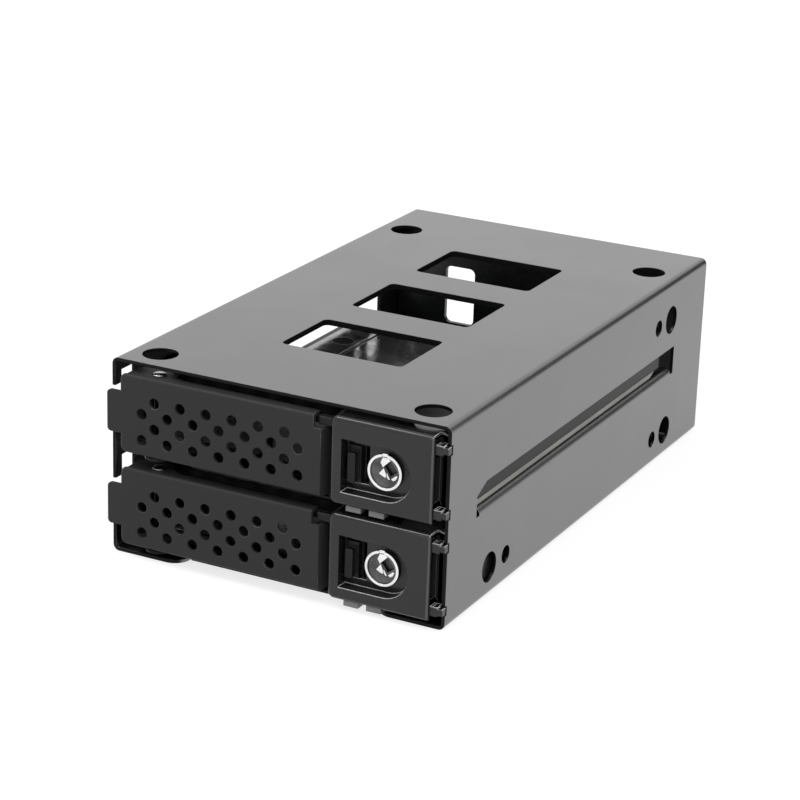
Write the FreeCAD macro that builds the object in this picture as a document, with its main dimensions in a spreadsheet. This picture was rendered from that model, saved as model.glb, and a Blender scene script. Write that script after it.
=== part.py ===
"""Two-bay hot-swap drive cage: folded steel cage, backplane and two lockable carriers, in millimetres."""
import FreeCAD, Part
import math
import os
from types import SimpleNamespace

import Sketcher
from FreeCAD import Placement, Rotation, Vector

# Driving sizes. X runs across the front, Y into the cage from its front edge, Z up.
SIZES = {
    # Folded cage
    "cage_width": 108.0,
    "cage_height": 59.5,
    "cage_depth": 186.0,
    "sheet": 1.0,
    "bend_inner": 1.0,
    "flange_left": 23.0,
    "flange_right": 22.0,
    "flange_corner": 5.0,
    # Windows in the top
    "window_width": 39.6,
    "window_length": 26.9,
    "window_front": 36.2,
    "window_spacing": 42.5,
    "window_count": 3,
    "window_corner": 1.8,
    "rim_depth": 1.8,
    "rim_wall": 0.9,
    # Round holes in the top and the sides
    "top_hole": 10.5,
    "top_hole_inset": 10.3,
    "top_hole_front": 9.2,
    "top_hole_rear": 24.6,
    "side_hole_large": 9.1,
    "side_hole_small": 5.3,
    "side_hole_low": 9.0,
    "side_hole_drop": 13.1,
    "large_front": 27.4,
    "large_rear": 28.6,
    "small_front": 38.2,
    "small_rear": 39.0,
    # Slot in each side with the ledge that carries the upper carrier
    "slot_front": 17.5,
    "slot_rear": 24.5,
    "slot_clear": 7.1,
    "slot_lead_run": 6.0,
    "slot_lead_drop": 2.8,
    "ledge_reach": 3.0,
    "ledge_relief": 2.0,
    # Bays and running clearances
    "bay_gap": 2.6,
    "headroom": 1.4,
    "glide_gap": 0.3,
    "tray_gap": 0.6,
    "running_gap": 0.3,
    "fit_gap": 0.15,
    # Drive that a carrier takes
    "drive_gap": 0.2,
    "drive_screw_spread": 95.25,
    "drive_screw_far": 117.48,
    "drive_screw_near": 85.73,
    "drive_side_near": 28.5,
    "drive_side_far": 130.1,
    "drive_side_height": 6.35,
    "drive_screw_hole": 3.6,
    # Carrier tray
    "tray_sheet": 0.8,
    "tray_rear_gap": 21.0,
    "tray_wall_drop": 5.8,
    "tray_wall_start": 16.0,
    "left_wall_gap": 65.0,
    "rear_bar": 7.0,
    "left_strip": 2.0,
    "right_strip": 8.0,
    "floor_corner": 3.0,
    "floor_vent_gap": 19.5,
    "floor_vent_length": 22.5,
    "floor_vent_width": 63.5,
    "front_wall_place": 9.2,
    "lug_root": 5.6,
    "floor_lip": 0.6,
    "floor_lip_left": 27.0,
    "vent_margin": 3.0,
    "lug_width": 6.4,
    "runner_height": 1.6,
    "runner_width": 1.1,
    # Latch module of a carrier
    "bezel_proud": 3.0,
    "bezel_width": 33.9,
    "bezel_face": 1.6,
    "bezel_wall": 1.4,
    "bezel_corner": 2.0,
    "bezel_edge": 1.4,
    "recess_inset": 3.6,
    "recess_length": 21.7,
    "recess_foot": 4.0,
    "recess_drop": 6.1,
    "recess_depth": 4.0,
    "ear_height": 2.2,
    "ear_low": 1.8,
    "ear_drop": 5.3,
    "ear_depth": 2.2,
    "ear_hook": 0.6,
    "ear_reach": 1.5,
    "ear_clear": 0.4,
    "boss_width": 5.0,
    "screw_inset": 4.0,
    "screw_low": 4.3,
    "screw_drop": 4.8,
    "screw_shank": 2.4,
    "screw_head": 4.6,
    "screw_head_height": 1.4,
    "screw_length": 7.0,
    # Lever
    "lever_proud": 2.8,
    "lever_sheet": 1.0,
    "lever_inset": 4.2,
    "lever_end_gap": 2.9,
    "lever_foot": 1.1,
    "lever_drop": 0.9,
    "lever_corner": 2.0,
    "lever_bend": 0.9,
    "lever_flange": 4.0,
    "lever_end_lean": 1.4,
    "ear_radius": 4.2,
    "pin_inset": 14.7,
    "pin_place": 1.8,
    "pin_width": 3.0,
    "pin_head": 4.2,
    "pin_head_height": 0.6,
    "tab_foot": 6.8,
    "tab_height": 12.6,
    "tab_corner": 1.2,
    "perforation": 3.3,
    "row_spacing": 3.95,
    "hole_first": 7.4,
    "hole_last": 7.18,
    "row_first": 5.9,
    "hole_columns": 7,
    "notch_width": 2.4,
    "notch_height": 3.9,
    # Openings in the left side behind the lever's tab
    "tab_notch_depth": 10.0,
    "claw_strip": 3.2,
    "claw_over": 0.2,
    "claw_head": 4.6,
    # Latch slider and its spring
    "latch_travel": 2.0,
    "slider_left": 0.6,
    "slider_width": 3.9,
    "slider_short": 5.1,
    "slider_back": 1.6,
    "slider_tail": 6.9,
    "slider_foot": 4.6,
    "paddle_width": 2.4,
    "paddle_short": 2.0,
    "paddle_drop": 0.75,
    "paddle_front": 1.5,
    "tongue_height": 2.4,
    "tongue_thick": 2.0,
    "tongue_reach": 4.5,
    "spring_width": 2.2,
    "spring_wire": 0.4,
    "spring_turns": 5,
    "spring_rib_place": 22.5,
    "spring_rib": 1.4,
    "spigot": 1.3,
    "spigot_length": 1.6,
    # Lock
    "lock_inset": 8.95,
    "lock_ring": 10.7,
    "lock_ring_front": 1.6,
    "lock_barrel": 9.4,
    "lock_plug": 7.4,
    "lock_cup": 8.6,
    "lock_notch": 1.1,
    "lock_notch_depth": 1.0,
    "lock_length": 13.4,
    "key_slot": 3.8,
    "key_slot_back": 0.9,
    "key_slot_front": 3.0,
    "key_slot_depth": 5.0,
    "key_turn": -31.0,
    "nut_flats": 12.4,
    "nut_height": 2.6,
    "cam_thick": 1.4,
    "cam_width": 6.0,
    "cam_reach": 11.0,
    "cam_screw": 2.6,
    "cam_screw_head": 4.8,
    "cam_screw_head_height": 1.2,
    "cam_screw_length": 5.0,
    # Light guides under a carrier
    "guide_first": 5.0,
    "guide_width": 4.6,
    "guide_spacing": 7.15,
    "guide_inset": 1.0,
    "guide_gap": 9.0,
    # Backplane
    "board_setback": 12.0,
    "board_thick": 1.6,
    "board_gap": 0.6,
    "vent_left": 34.5,
    "vent_width": 10.8,
    "vent_foot": 25.5,
    "vent_height": 20.0,
    "vent_corner": 2.0,
    "bracket_face": 10.0,
    "bracket_leg": 8.4,
    "bracket_thick": 1.2,
    "bracket_foot": 4.0,
    "board_screw_inset": 6.0,
    "board_screw_low": 9.0,
    "board_screw_drop": 9.5,
    "board_screw": 2.8,
    "board_screw_head": 5.2,
    "board_screw_head_height": 1.6,
    "board_screw_length": 4.0,
    "socket_place": 14.4,
    "socket_width": 42.4,
    "socket_foot": 2.2,
    "socket_height": 5.6,
    "socket_depth": 6.8,
    "socket_slot": 2.4,
    "socket_slot_depth": 5.0,
    "data_slot": 11.0,
    "power_slot": 21.0,
    "slot_divider": 2.6,
    "port_place": 8.0,
    "port_width": 14.6,
    "port_height": 6.0,
    "port_depth": 8.6,
    "port_wall": 1.1,
    "port_tongue": 1.2,
    "power_place": 24.0,
    "power_width": 23.0,
    "power_height": 10.0,
    "power_depth": 9.4,
    "power_wall": 1.3,
    "power_pin": 2.1,
    "power_pin_spacing": 5.08,
    "power_pins": 4,
    "led_width": 2.0,
    "led_height": 1.0,
    "led_depth": 1.8,
}

doc = FreeCAD.newDocument("drive_cage")
sheet = doc.addObject("Spreadsheet::Sheet", "Sizes")
for row, (alias, number) in enumerate(SIZES.items(), start=1):
    sheet.set(f"A{row}", str(number))
    sheet.setAlias(f"A{row}", alias)
doc.recompute()


class Size:
    """A number together with the sheet expression that gives it."""

    def __init__(self, value, text):
        self.value = value
        self.text = text

    def __add__(self, other):
        other = as_size(other)
        return Size(self.value + other.value, f"({self.text} + {other.text})")

    def __sub__(self, other):
        other = as_size(other)
        return Size(self.value - other.value, f"({self.text} - {other.text})")

    def __mul__(self, factor):
        factor = as_size(factor)
        return Size(self.value * factor.value, f"({self.text} * {factor.text})")

    def __truediv__(self, factor):
        factor = as_size(factor)
        return Size(self.value / factor.value, f"({self.text} / {factor.text})")

    def __rsub__(self, other):
        return as_size(other) - self

    def __neg__(self):
        return as_size(0) - self

    __radd__ = __add__
    __rmul__ = __mul__


def as_size(number):
    """A plain number as a size with its own text."""
    return number if isinstance(number, Size) else Size(number, f"({number})")


S = SimpleNamespace(**{alias: Size(number, f"Sizes.{alias}") for alias, number in SIZES.items()})
ZERO = as_size(0)
PAST = as_size(2)


def point(x, y):
    """A sketch point of two sizes."""
    return Vector(as_size(x).value, as_size(y).value, 0)


def bind(sketch, kind, *where):
    """Add a dimension to a sketch and bind it to its size, which comes last."""
    size = as_size(where[-1])
    index = sketch.addConstraint(Sketcher.Constraint(kind, *where[:-1], size.value))
    sketch.setExpression(f"Constraints[{index}]", size.text)


def fix(sketch, geometry, end, x=None, y=None):
    """Dimension one end of a sketch element from the sketch's origin."""
    if x is not None:
        bind(sketch, "DistanceX", -1, 1, geometry, end, x)
    if y is not None:
        bind(sketch, "DistanceY", -1, 1, geometry, end, y)


def polygon(*corners):
    """A straight-sided outline through its corners."""

    def draw(sketch):
        ends = zip(corners, corners[1:] + corners[:1])
        sides = [sketch.addGeometry(Part.LineSegment(point(*a), point(*b))) for a, b in ends]
        for side, following, corner in zip(sides, sides[1:] + sides[:1], corners):
            sketch.addConstraint(Sketcher.Constraint("Coincident", side, 2, following, 1))
            fix(sketch, side, 1, *corner)

    return draw


def box(x0, x1, y0, y1):
    """A rectangle."""
    return polygon((x0, y0), (x1, y0), (x1, y1), (x0, y1))


def rounded(x0, x1, y0, y1, radius):
    """A rectangle with four round corners."""
    x0, x1, y0, y1, radius = map(as_size, (x0, x1, y0, y1, radius))

    def draw(sketch):
        runs = (
            ((x0 + radius, y0), (x1 - radius, y0), "Horizontal", {"y": y0}),
            ((x1, y0 + radius), (x1, y1 - radius), "Vertical", {"x": x1}),
            ((x1 - radius, y1), (x0 + radius, y1), "Horizontal", {"y": y1}),
            ((x0, y1 - radius), (x0, y0 + radius), "Vertical", {"x": x0}),
        )
        centres = ((x1 - radius, y0 + radius), (x1 - radius, y1 - radius),
                   (x0 + radius, y1 - radius), (x0 + radius, y0 + radius))
        lines = []
        arcs = []
        for quarter, (run, centre) in enumerate(zip(runs, centres)):
            lines.append(sketch.addGeometry(Part.LineSegment(point(*run[0]), point(*run[1]))))
            circle_here = Part.Circle(point(*centre), Vector(0, 0, 1), radius.value)
            start = (quarter - 1) * math.pi / 2
            arcs.append(sketch.addGeometry(Part.ArcOfCircle(circle_here, start, start + math.pi / 2)))
        for quarter, run in enumerate(runs):
            sketch.addConstraint(Sketcher.Constraint("Tangent", lines[quarter], 2, arcs[quarter], 1))
            following = lines[(quarter + 1) % 4]
            sketch.addConstraint(Sketcher.Constraint("Tangent", arcs[quarter], 2, following, 1))
            sketch.addConstraint(Sketcher.Constraint(run[2], lines[quarter]))
            fix(sketch, lines[quarter], 1, **run[3])
        for arc in arcs[1:]:
            sketch.addConstraint(Sketcher.Constraint("Equal", arcs[0], arc))
        bind(sketch, "Radius", arcs[0], radius)

    return draw


def round_ended(x0, x1, middle, height):
    """An outline with a square left end and a round right end."""

    def draw(sketch):
        radius = height / 2
        centre = x1 - radius
        foot = middle - radius
        head = middle + radius
        low = sketch.addGeometry(Part.LineSegment(point(x0, foot), point(centre, foot)))
        end_circle = Part.Circle(point(centre, middle), Vector(0, 0, 1), radius.value)
        arc = sketch.addGeometry(Part.ArcOfCircle(end_circle, -math.pi / 2, math.pi / 2))
        high = sketch.addGeometry(Part.LineSegment(point(centre, head), point(x0, head)))
        left = sketch.addGeometry(Part.LineSegment(point(x0, head), point(x0, foot)))
        sketch.addConstraint(Sketcher.Constraint("Tangent", low, 2, arc, 1))
        sketch.addConstraint(Sketcher.Constraint("Tangent", arc, 2, high, 1))
        sketch.addConstraint(Sketcher.Constraint("Coincident", high, 2, left, 1))
        sketch.addConstraint(Sketcher.Constraint("Coincident", left, 2, low, 1))
        sketch.addConstraint(Sketcher.Constraint("Horizontal", low))
        sketch.addConstraint(Sketcher.Constraint("Horizontal", high))
        sketch.addConstraint(Sketcher.Constraint("Vertical", left))
        fix(sketch, arc, 3, centre, middle)
        bind(sketch, "Radius", arc, radius)
        fix(sketch, left, 1, x=x0)

    return draw


def circle(x, y, width):
    """A circle of a given diameter."""

    def draw(sketch):
        round_line = Part.Circle(point(x, y), Vector(0, 0, 1), as_size(width).value / 2)
        ring = sketch.addGeometry(round_line)
        fix(sketch, ring, 3, x, y)
        bind(sketch, "Diameter", ring, width)

    return draw


def hexagon(flats):
    """A hexagon about the sketch's origin, by its width across flats."""
    corner = flats / math.sqrt(3)
    turns = [math.radians(30 + 60 * side) for side in range(6)]
    return polygon(*((corner * round(math.cos(a), 9), corner * round(math.sin(a), 9)) for a in turns))


class Piece:
    """One sub-part: a body whose sketches and features follow the sheet."""

    made = []

    def __init__(self, name, x=ZERO, y=ZERO, z=ZERO, turn=None):
        self.body = doc.addObject("PartDesign::Body", name)
        self.body.Label = name
        self.body.AllowCompound = True
        self.x, self.y, self.z = x, y, z
        self.turn = turn
        Piece.made.append(self)

    def origin(self, role):
        """A plane or axis of the body's own origin."""
        return next(item for item in self.body.Origin.OriginFeatures if item.Role == role)

    def sketch(self, plane, level, outlines):
        """A sketch on one of the body's planes, at a level along the plane's axis."""
        level = as_size(level)
        lift = -level if plane == "XZ" else level
        drawn = self.body.newObject("Sketcher::SketchObject", f"{self.body.Name}_outline")
        drawn.AttachmentSupport = [(self.origin(f"{plane}_Plane"), "")]
        drawn.MapMode = "FlatFace"
        drawn.AttachmentOffset = Placement(Vector(0, 0, lift.value), Rotation())
        drawn.setExpression("AttachmentOffset.Base.z", lift.text)
        for outline in outlines:
            outline(drawn)
        return drawn

    def volume(self):
        """The volume so far."""
        return self.body.Tip.Shape.Volume if self.body.Tip else 0.0

    def finish_feature(self, feature, before, grows):
        """Recompute a feature and see that it added or took away material."""
        self.body.Tip = feature
        doc.recompute()
        if feature.State and "Up-to-date" not in feature.State:
            raise RuntimeError(f"{feature.Name}: {feature.State}")
        change = feature.Shape.Volume - before
        if (change if grows else -change) < 1e-6:
            raise RuntimeError(f"{feature.Name} changed the volume by {change:.6f}")
        return feature

    def extrude(self, kind, plane, start, end, outlines, reverse):
        """Run outlines from one level to a higher one."""
        before = self.volume()
        drawn = self.sketch(plane, start, outlines)
        feature = self.body.newObject(f"PartDesign::{kind}", f"{self.body.Name}_{kind.lower()}")
        feature.Profile = drawn
        length = as_size(end) - start
        feature.Length = length.value
        feature.setExpression("Length", length.text)
        feature.Reversed = reverse
        return self.finish_feature(feature, before, kind == "Pad")

    def add(self, plane, start, end, *outlines):
        """Pad outlines between two levels."""
        return self.extrude("Pad", plane, start, end, outlines, plane == "XZ")

    def cut(self, plane, start, end, *outlines):
        """Pocket outlines between two levels."""
        return self.extrude("Pocket", plane, start, end, outlines, plane != "XZ")

    def revolve(self, plane, axis, outline):
        """Turn an outline once about an axis of its sketch."""
        before = self.volume()
        drawn = self.sketch(plane, ZERO, [outline])
        feature = self.body.newObject("PartDesign::Revolution", f"{self.body.Name}_revolution")
        feature.Profile = drawn
        feature.ReferenceAxis = (drawn, [axis])
        feature.Angle = 360
        return self.finish_feature(feature, before, True)

    def coil(self, outline, pitch, height):
        """Wind an outline into a helix about the body's X axis."""
        drawn = self.sketch("XY", ZERO, [outline])
        feature = self.body.newObject("PartDesign::AdditiveHelix", f"{self.body.Name}_helix")
        feature.Profile = drawn
        feature.ReferenceAxis = (drawn, ["H_Axis"])
        feature.Mode = "pitch-height-angle"
        feature.setExpression("Pitch", pitch.text)
        feature.setExpression("Height", height.text)
        return self.finish_feature(feature, 0.0, True)

    def repeat(self, originals, grows, *rows):
        """Copy features along one or two axes; a row is an axis, a pitch and a count."""
        before = self.volume()
        feature = self.body.newObject("PartDesign::LinearPattern", f"{self.body.Name}_pattern")
        feature.Originals = originals
        for suffix, (axis, pitch, count) in zip(("", "2"), rows):
            span = as_size(pitch) * (as_size(count) - 1)
            setattr(feature, f"Direction{suffix}", (self.origin(f"{axis}_Axis"), [""]))
            feature.setExpression(f"Length{suffix}", span.text)
            feature.setExpression(f"Occurrences{suffix}", as_size(count).text)
        return self.finish_feature(feature, before, grows)

    def edges(self, axis, *lines):
        """Names of the edges along an axis that lie on any of the given lines, in the other two axes."""
        others = [name for name in "XYZ" if name != axis]
        found = []
        for number, edge in enumerate(self.body.Tip.Shape.Edges, start=1):
            bounds = edge.BoundBox
            if any(getattr(bounds, f"{name}Length") > 1e-4 for name in others):
                continue
            place = [getattr(bounds.Center, name.lower()) for name in others]
            for line in lines:
                near = [abs(have - as_size(want).value) < 1e-3 for have, want in zip(place, line)]
                if all(near):
                    found.append(f"Edge{number}")
        if not found:
            raise RuntimeError(f"{self.body.Name}: no edge along {axis}")
        return found

    def face_edges(self, level):
        """Names of the edges that lie in the plane across Y at a level."""
        found = []
        for number, edge in enumerate(self.body.Tip.Shape.Edges, start=1):
            bounds = edge.BoundBox
            if bounds.YLength < 1e-4 and abs(bounds.YMin - level.value) < 1e-3:
                found.append(f"Edge{number}")
        return found

    def soften(self, radius, names):
        """Round the named edges."""
        base = self.body.Tip
        feature = self.body.newObject("PartDesign::Fillet", f"{self.body.Name}_fillet")
        feature.Base = (base, names)
        feature.Radius = as_size(radius).value
        feature.setExpression("Radius", as_size(radius).text)
        self.body.Tip = feature
        doc.recompute()
        if "Up-to-date" not in feature.State:
            raise RuntimeError(f"{feature.Name}: {feature.State}")
        return feature

    def place(self):
        """Set the body in the part's frame, with the cage's box centred on the origin."""
        rotation = Rotation(Vector(0, 1, 0), self.turn.value) if self.turn else Rotation()
        self.body.Placement = Placement(Vector(self.x.value, self.y.value, self.z.value), rotation)
        if self.turn:
            self.body.setExpression("Placement.Rotation.Angle", self.turn.text)
        for name, size in (("x", self.x), ("y", self.y), ("z", self.z)):
            self.body.setExpression(f"Placement.Base.{name}", size.text)


# Places that several pieces share
FRONT = (S.bezel_proud - S.cage_depth) / 2
HALF = S.cage_width / 2
INNER = HALF - S.sheet
OUTER_BEND = S.bend_inner + S.sheet
TRAY = INNER - S.tray_gap
LOWER = S.sheet + S.glide_gap + S.runner_height
BEZEL_HEIGHT = (S.cage_height - LOWER - S.headroom - S.sheet - S.bay_gap) / 2
BAY_SPACING = BEZEL_HEIGHT + S.bay_gap
BAYS = {"lower": LOWER, "upper": LOWER + BAY_SPACING}
LEDGE = BAYS["upper"] - S.runner_height - S.glide_gap
SLOT_LOW = LEDGE - OUTER_BEND
BEZEL_LEFT = TRAY - S.bezel_width
RECESS_LEFT = BEZEL_LEFT + S.recess_inset
RECESS_HEIGHT = BEZEL_HEIGHT - S.recess_foot - S.recess_drop
RECESS_MIDDLE = S.recess_foot + RECESS_HEIGHT / 2
LOCK_X = RECESS_LEFT + S.recess_length - S.lock_inset
RECESS_FLOOR = S.recess_depth - S.bezel_proud
TUB_BACK = RECESS_FLOOR + S.bezel_wall
FRONT_WALL_BACK = S.front_wall_place + S.tray_sheet
LEVER_LEFT = S.lever_inset - HALF
LEVER_RIGHT = BEZEL_LEFT - S.lever_end_gap
LEVER_TOP = BEZEL_HEIGHT - S.lever_drop
LEVER_FACE = -S.lever_proud
LEVER_BACK = S.lever_flange - S.lever_proud
PIN_X = S.pin_inset - HALF
LUG_TOP = LEVER_TOP - S.lever_sheet - S.running_gap
BOARD = S.cage_depth - S.board_setback
SOCKET_FACE = BOARD - S.socket_depth
DRIVE_REAR = SOCKET_FACE - S.drive_gap
TRAY_REAR = BOARD - S.tray_rear_gap
LEFT_WALL_END = TRAY_REAR - S.left_wall_gap
SLOT_REAR = S.cage_depth - S.slot_rear
SCREW_HIGH = BEZEL_HEIGHT - S.screw_drop
EAR_HIGH = BEZEL_HEIGHT - S.ear_drop
TONGUE_TOP = BEZEL_HEIGHT - S.bezel_wall - S.running_gap
TONGUE_LOW = TONGUE_TOP - S.tongue_height
SLIDER_FRONT = TUB_BACK + S.running_gap
SLIDER_BACK = SLIDER_FRONT + S.slider_back
SLIDER_LEFT = RECESS_LEFT + S.slider_left
TAIL_LEFT = BEZEL_LEFT + S.bezel_wall + S.running_gap
SPRING_Z = TONGUE_LOW + S.tongue_height / 2
SPRING_Y = SLIDER_FRONT + S.slider_back / 2
RIB_X = BEZEL_LEFT + S.spring_rib_place
GUIDE_X = BEZEL_LEFT + S.guide_first
SCREW_X = TRAY - S.screw_inset


def cage_shell():
    """Folded cage: top, sides and bottom flanges, with windows, holes, slots, ledges and notches."""
    shell = Piece("cage_shell", y=FRONT)
    left_end = S.flange_left - HALF
    right_end = HALF - S.flange_right
    top = S.cage_height
    shell.add("XZ", ZERO, S.cage_depth, polygon(
        (left_end, ZERO), (-HALF, ZERO), (-HALF, top), (HALF, top), (HALF, ZERO), (right_end, ZERO),
        (right_end, S.sheet), (INNER, S.sheet), (INNER, top - S.sheet),
        (-INNER, top - S.sheet), (-INNER, S.sheet), (left_end, S.sheet)))
    corners = [(side * half, z) for half, lift in ((HALF, ZERO), (INNER, S.sheet)) for side in (-1, 1)
               for z in (lift, top - lift)]
    shell.soften(OUTER_BEND, shell.edges("Y", *corners[:4]))
    shell.soften(S.bend_inner, shell.edges("Y", *corners[4:]))
    shell.soften(S.flange_corner, shell.edges("Z", (left_end, ZERO), (right_end, ZERO)))

    half_window = S.window_width / 2
    window_end = S.window_front + S.window_length
    rim = shell.add("XY", top - S.rim_depth, top - S.sheet, rounded(
        -half_window - S.rim_wall, half_window + S.rim_wall,
        S.window_front - S.rim_wall, window_end + S.rim_wall, S.window_corner + S.rim_wall))
    window = shell.cut("XY", top - S.rim_depth - PAST, top + PAST, rounded(
        -half_window, half_window, S.window_front, window_end, S.window_corner))
    shell.repeat([rim, window], False, ("Y", S.window_spacing, S.window_count))

    hole_y = (S.top_hole_front, S.cage_depth - S.top_hole_rear)
    hole_x = (S.top_hole_inset - HALF, HALF - S.top_hole_inset)
    shell.cut("XY", top - S.sheet - PAST, top + PAST,
              *(circle(x, y, S.top_hole) for x in hole_x for y in hole_y))

    shell.cut("YZ", -HALF - PAST, HALF + PAST, polygon(
        (S.slot_front, SLOT_LOW), (SLOT_REAR, SLOT_LOW), (SLOT_REAR, LEDGE + S.slot_clear),
        (S.slot_front + S.slot_lead_run, LEDGE + S.slot_clear),
        (S.slot_front, LEDGE + S.slot_clear - S.slot_lead_drop)))
    ledge_tip = HALF - S.ledge_reach
    for side in (-1, 1):
        shell.add("XZ", S.slot_front + S.ledge_relief, SLOT_REAR - S.ledge_relief, polygon(*(
            (side * x, z) for x, z in (
                (HALF, SLOT_LOW), (HALF, LEDGE), (ledge_tip, LEDGE),
                (ledge_tip, LEDGE - S.sheet), (INNER, LEDGE - S.sheet), (INNER, SLOT_LOW)))))
    shell.soften(OUTER_BEND, shell.edges("Y", (-HALF, LEDGE), (HALF, LEDGE)))
    shell.soften(S.bend_inner, shell.edges("Y", (-INNER, LEDGE - S.sheet), (INNER, LEDGE - S.sheet)))

    high = top - S.side_hole_drop
    holes = []
    for width, front, rear in ((S.side_hole_large, S.large_front, S.large_rear),
                               (S.side_hole_small, S.small_front, S.small_rear)):
        back = S.cage_depth - rear
        holes += [circle(front, S.side_hole_low, width), circle(back, S.side_hole_low, width),
                  circle(back, high, width)]
    shell.cut("YZ", -HALF - PAST, HALF + PAST, *holes)

    claw_tops = {"lower": BAYS["upper"] - S.bay_gap + S.claw_over, "upper": top - S.claw_head}
    for bay, base in BAYS.items():
        tab_low = base + S.tab_foot - S.ear_clear
        tab_high = base + S.tab_foot + S.tab_height + S.running_gap
        claw_top = claw_tops[bay]
        shell.cut("YZ", -HALF - PAST, -INNER + S.tray_gap / 2, polygon(
            (-PAST, tab_low), (S.tab_notch_depth, tab_low), (S.tab_notch_depth, claw_top),
            (S.claw_strip, claw_top), (S.claw_strip, tab_high), (-PAST, tab_high)))
        ears = []
        for ear in (S.ear_low, EAR_HIGH):
            low = base + ear - S.ear_clear
            ears.append(box(-PAST, S.ear_hook + S.ear_clear, low, low + S.ear_height + S.ear_clear * 2))
        shell.cut("YZ", INNER - S.tray_gap / 2, HALF + PAST, *ears)


def backplane():
    """Backplane at the rear: board, brackets, screws, drive sockets, ports and status lamps."""
    board_half = INNER - S.board_gap
    board_low = S.sheet + S.glide_gap
    board_high = S.cage_height - S.sheet - S.board_gap
    back = BOARD + S.board_thick
    screw_x = INNER - S.board_screw_inset
    screw_z = (S.board_screw_low, S.cage_height - S.board_screw_drop)
    board = Piece("backplane_board", y=FRONT)
    board.add("XZ", BOARD, back, rounded(-board_half, board_half, board_low, board_high, S.vent_corner))
    board.cut("XZ", BOARD - PAST, back + PAST, rounded(
        -S.vent_left, S.vent_width - S.vent_left, S.vent_foot, S.vent_foot + S.vent_height, S.vent_corner))
    screw_hole = S.board_screw + S.fit_gap * 2
    holes = [circle(side * screw_x, z, screw_hole) for side in (-1, 1) for z in screw_z]
    board.cut("XZ", BOARD - PAST, back + PAST, *holes)

    for side, name in ((-1, "left"), (1, "right")):
        bracket = Piece(f"board_bracket_{name}", y=FRONT)
        low = S.bracket_foot
        high = S.cage_height - S.bracket_foot
        bracket.add("XY", low, high, polygon(*((side * x, y) for x, y in (
            (INNER, back), (INNER - S.bracket_face, back),
            (INNER - S.bracket_face, back + S.bracket_thick),
            (INNER - S.bracket_thick, back + S.bracket_thick),
            (INNER - S.bracket_thick, back + S.bracket_leg), (INNER, back + S.bracket_leg)))))
        bracket.cut("XZ", back - PAST, back + S.bracket_thick + PAST,
                    *(circle(side * screw_x, z, screw_hole) for z in screw_z))

    screws = Piece("board_screws", x=-screw_x, y=FRONT + BOARD, z=S.board_screw_low)
    shank = S.board_screw / 2
    head = S.board_screw_head / 2
    first = screws.revolve("XY", "V_Axis", polygon(
        (ZERO, -S.board_screw_head_height), (head, -S.board_screw_head_height), (head, ZERO), (shank, ZERO),
        (shank, S.board_screw_length), (ZERO, S.board_screw_length)))
    screws.repeat([first], True, ("X", screw_x * 2, 2), ("Z", screw_z[1] - screw_z[0], 2))

    for bay, base in BAYS.items():
        socket = Piece(f"drive_socket_{bay}", x=S.socket_place, y=FRONT, z=base + S.socket_foot)
        half = S.socket_width / 2
        socket.add("XZ", SOCKET_FACE, BOARD, rounded(-half, half, ZERO, S.socket_height, S.fit_gap * 4))
        low = (S.socket_height - S.socket_slot) / 2
        total = S.data_slot + S.slot_divider + S.power_slot
        data_end = S.data_slot - total / 2
        socket.cut("XZ", SOCKET_FACE - PAST, SOCKET_FACE + S.socket_slot_depth,
                   box(-total / 2, data_end, low, low + S.socket_slot),
                   box(data_end + S.slot_divider, total / 2, low, low + S.socket_slot))

        port = Piece(f"data_port_{bay}", x=-S.port_place, y=FRONT + back, z=base + S.socket_foot)
        half = S.port_width / 2
        port.add("XZ", ZERO, S.port_depth, rounded(-half, half, ZERO, S.port_height, S.port_wall / 2))
        inside = half - S.port_wall
        port.cut("XZ", S.port_wall, S.port_depth + PAST,
                 box(-inside, inside, S.port_wall, S.port_height - S.port_wall))
        middle = S.port_height / 2
        port.add("XZ", ZERO, S.port_depth - S.port_wall, box(
            -inside + S.port_wall, inside - S.port_wall,
            middle - S.port_tongue / 2, middle + S.port_tongue / 2))

    power = Piece("power_port", x=S.power_place, y=FRONT + back, z=(S.cage_height - S.power_height) / 2)
    half = S.power_width / 2
    power.add("XZ", ZERO, S.power_depth, rounded(-half, half, ZERO, S.power_height, S.power_wall))
    inside = half - S.power_wall
    power.cut("XZ", S.power_wall, S.power_depth + PAST,
              rounded(-inside, inside, S.power_wall, S.power_height - S.power_wall, S.power_wall / 2))
    first_pin = -S.power_pin_spacing * (S.power_pins - 1) / 2
    pin = power.add("XZ", S.power_wall / 2, S.power_depth - S.power_wall,
                    circle(first_pin, S.power_height / 2, S.power_pin))
    power.repeat([pin], True, ("X", S.power_pin_spacing, S.power_pins))

    lamps = Piece("status_lamps", x=GUIDE_X + S.guide_width / 2, y=FRONT + BOARD,
                  z=BAYS["lower"] - S.runner_height / 2)
    lamp = lamps.add("XZ", -S.led_depth, ZERO, box(
        -S.led_width / 2, S.led_width / 2, -S.led_height / 2, S.led_height / 2))
    lamps.repeat([lamp], True, ("X", S.guide_spacing, 2), ("Z", BAY_SPACING, 2))


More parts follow.
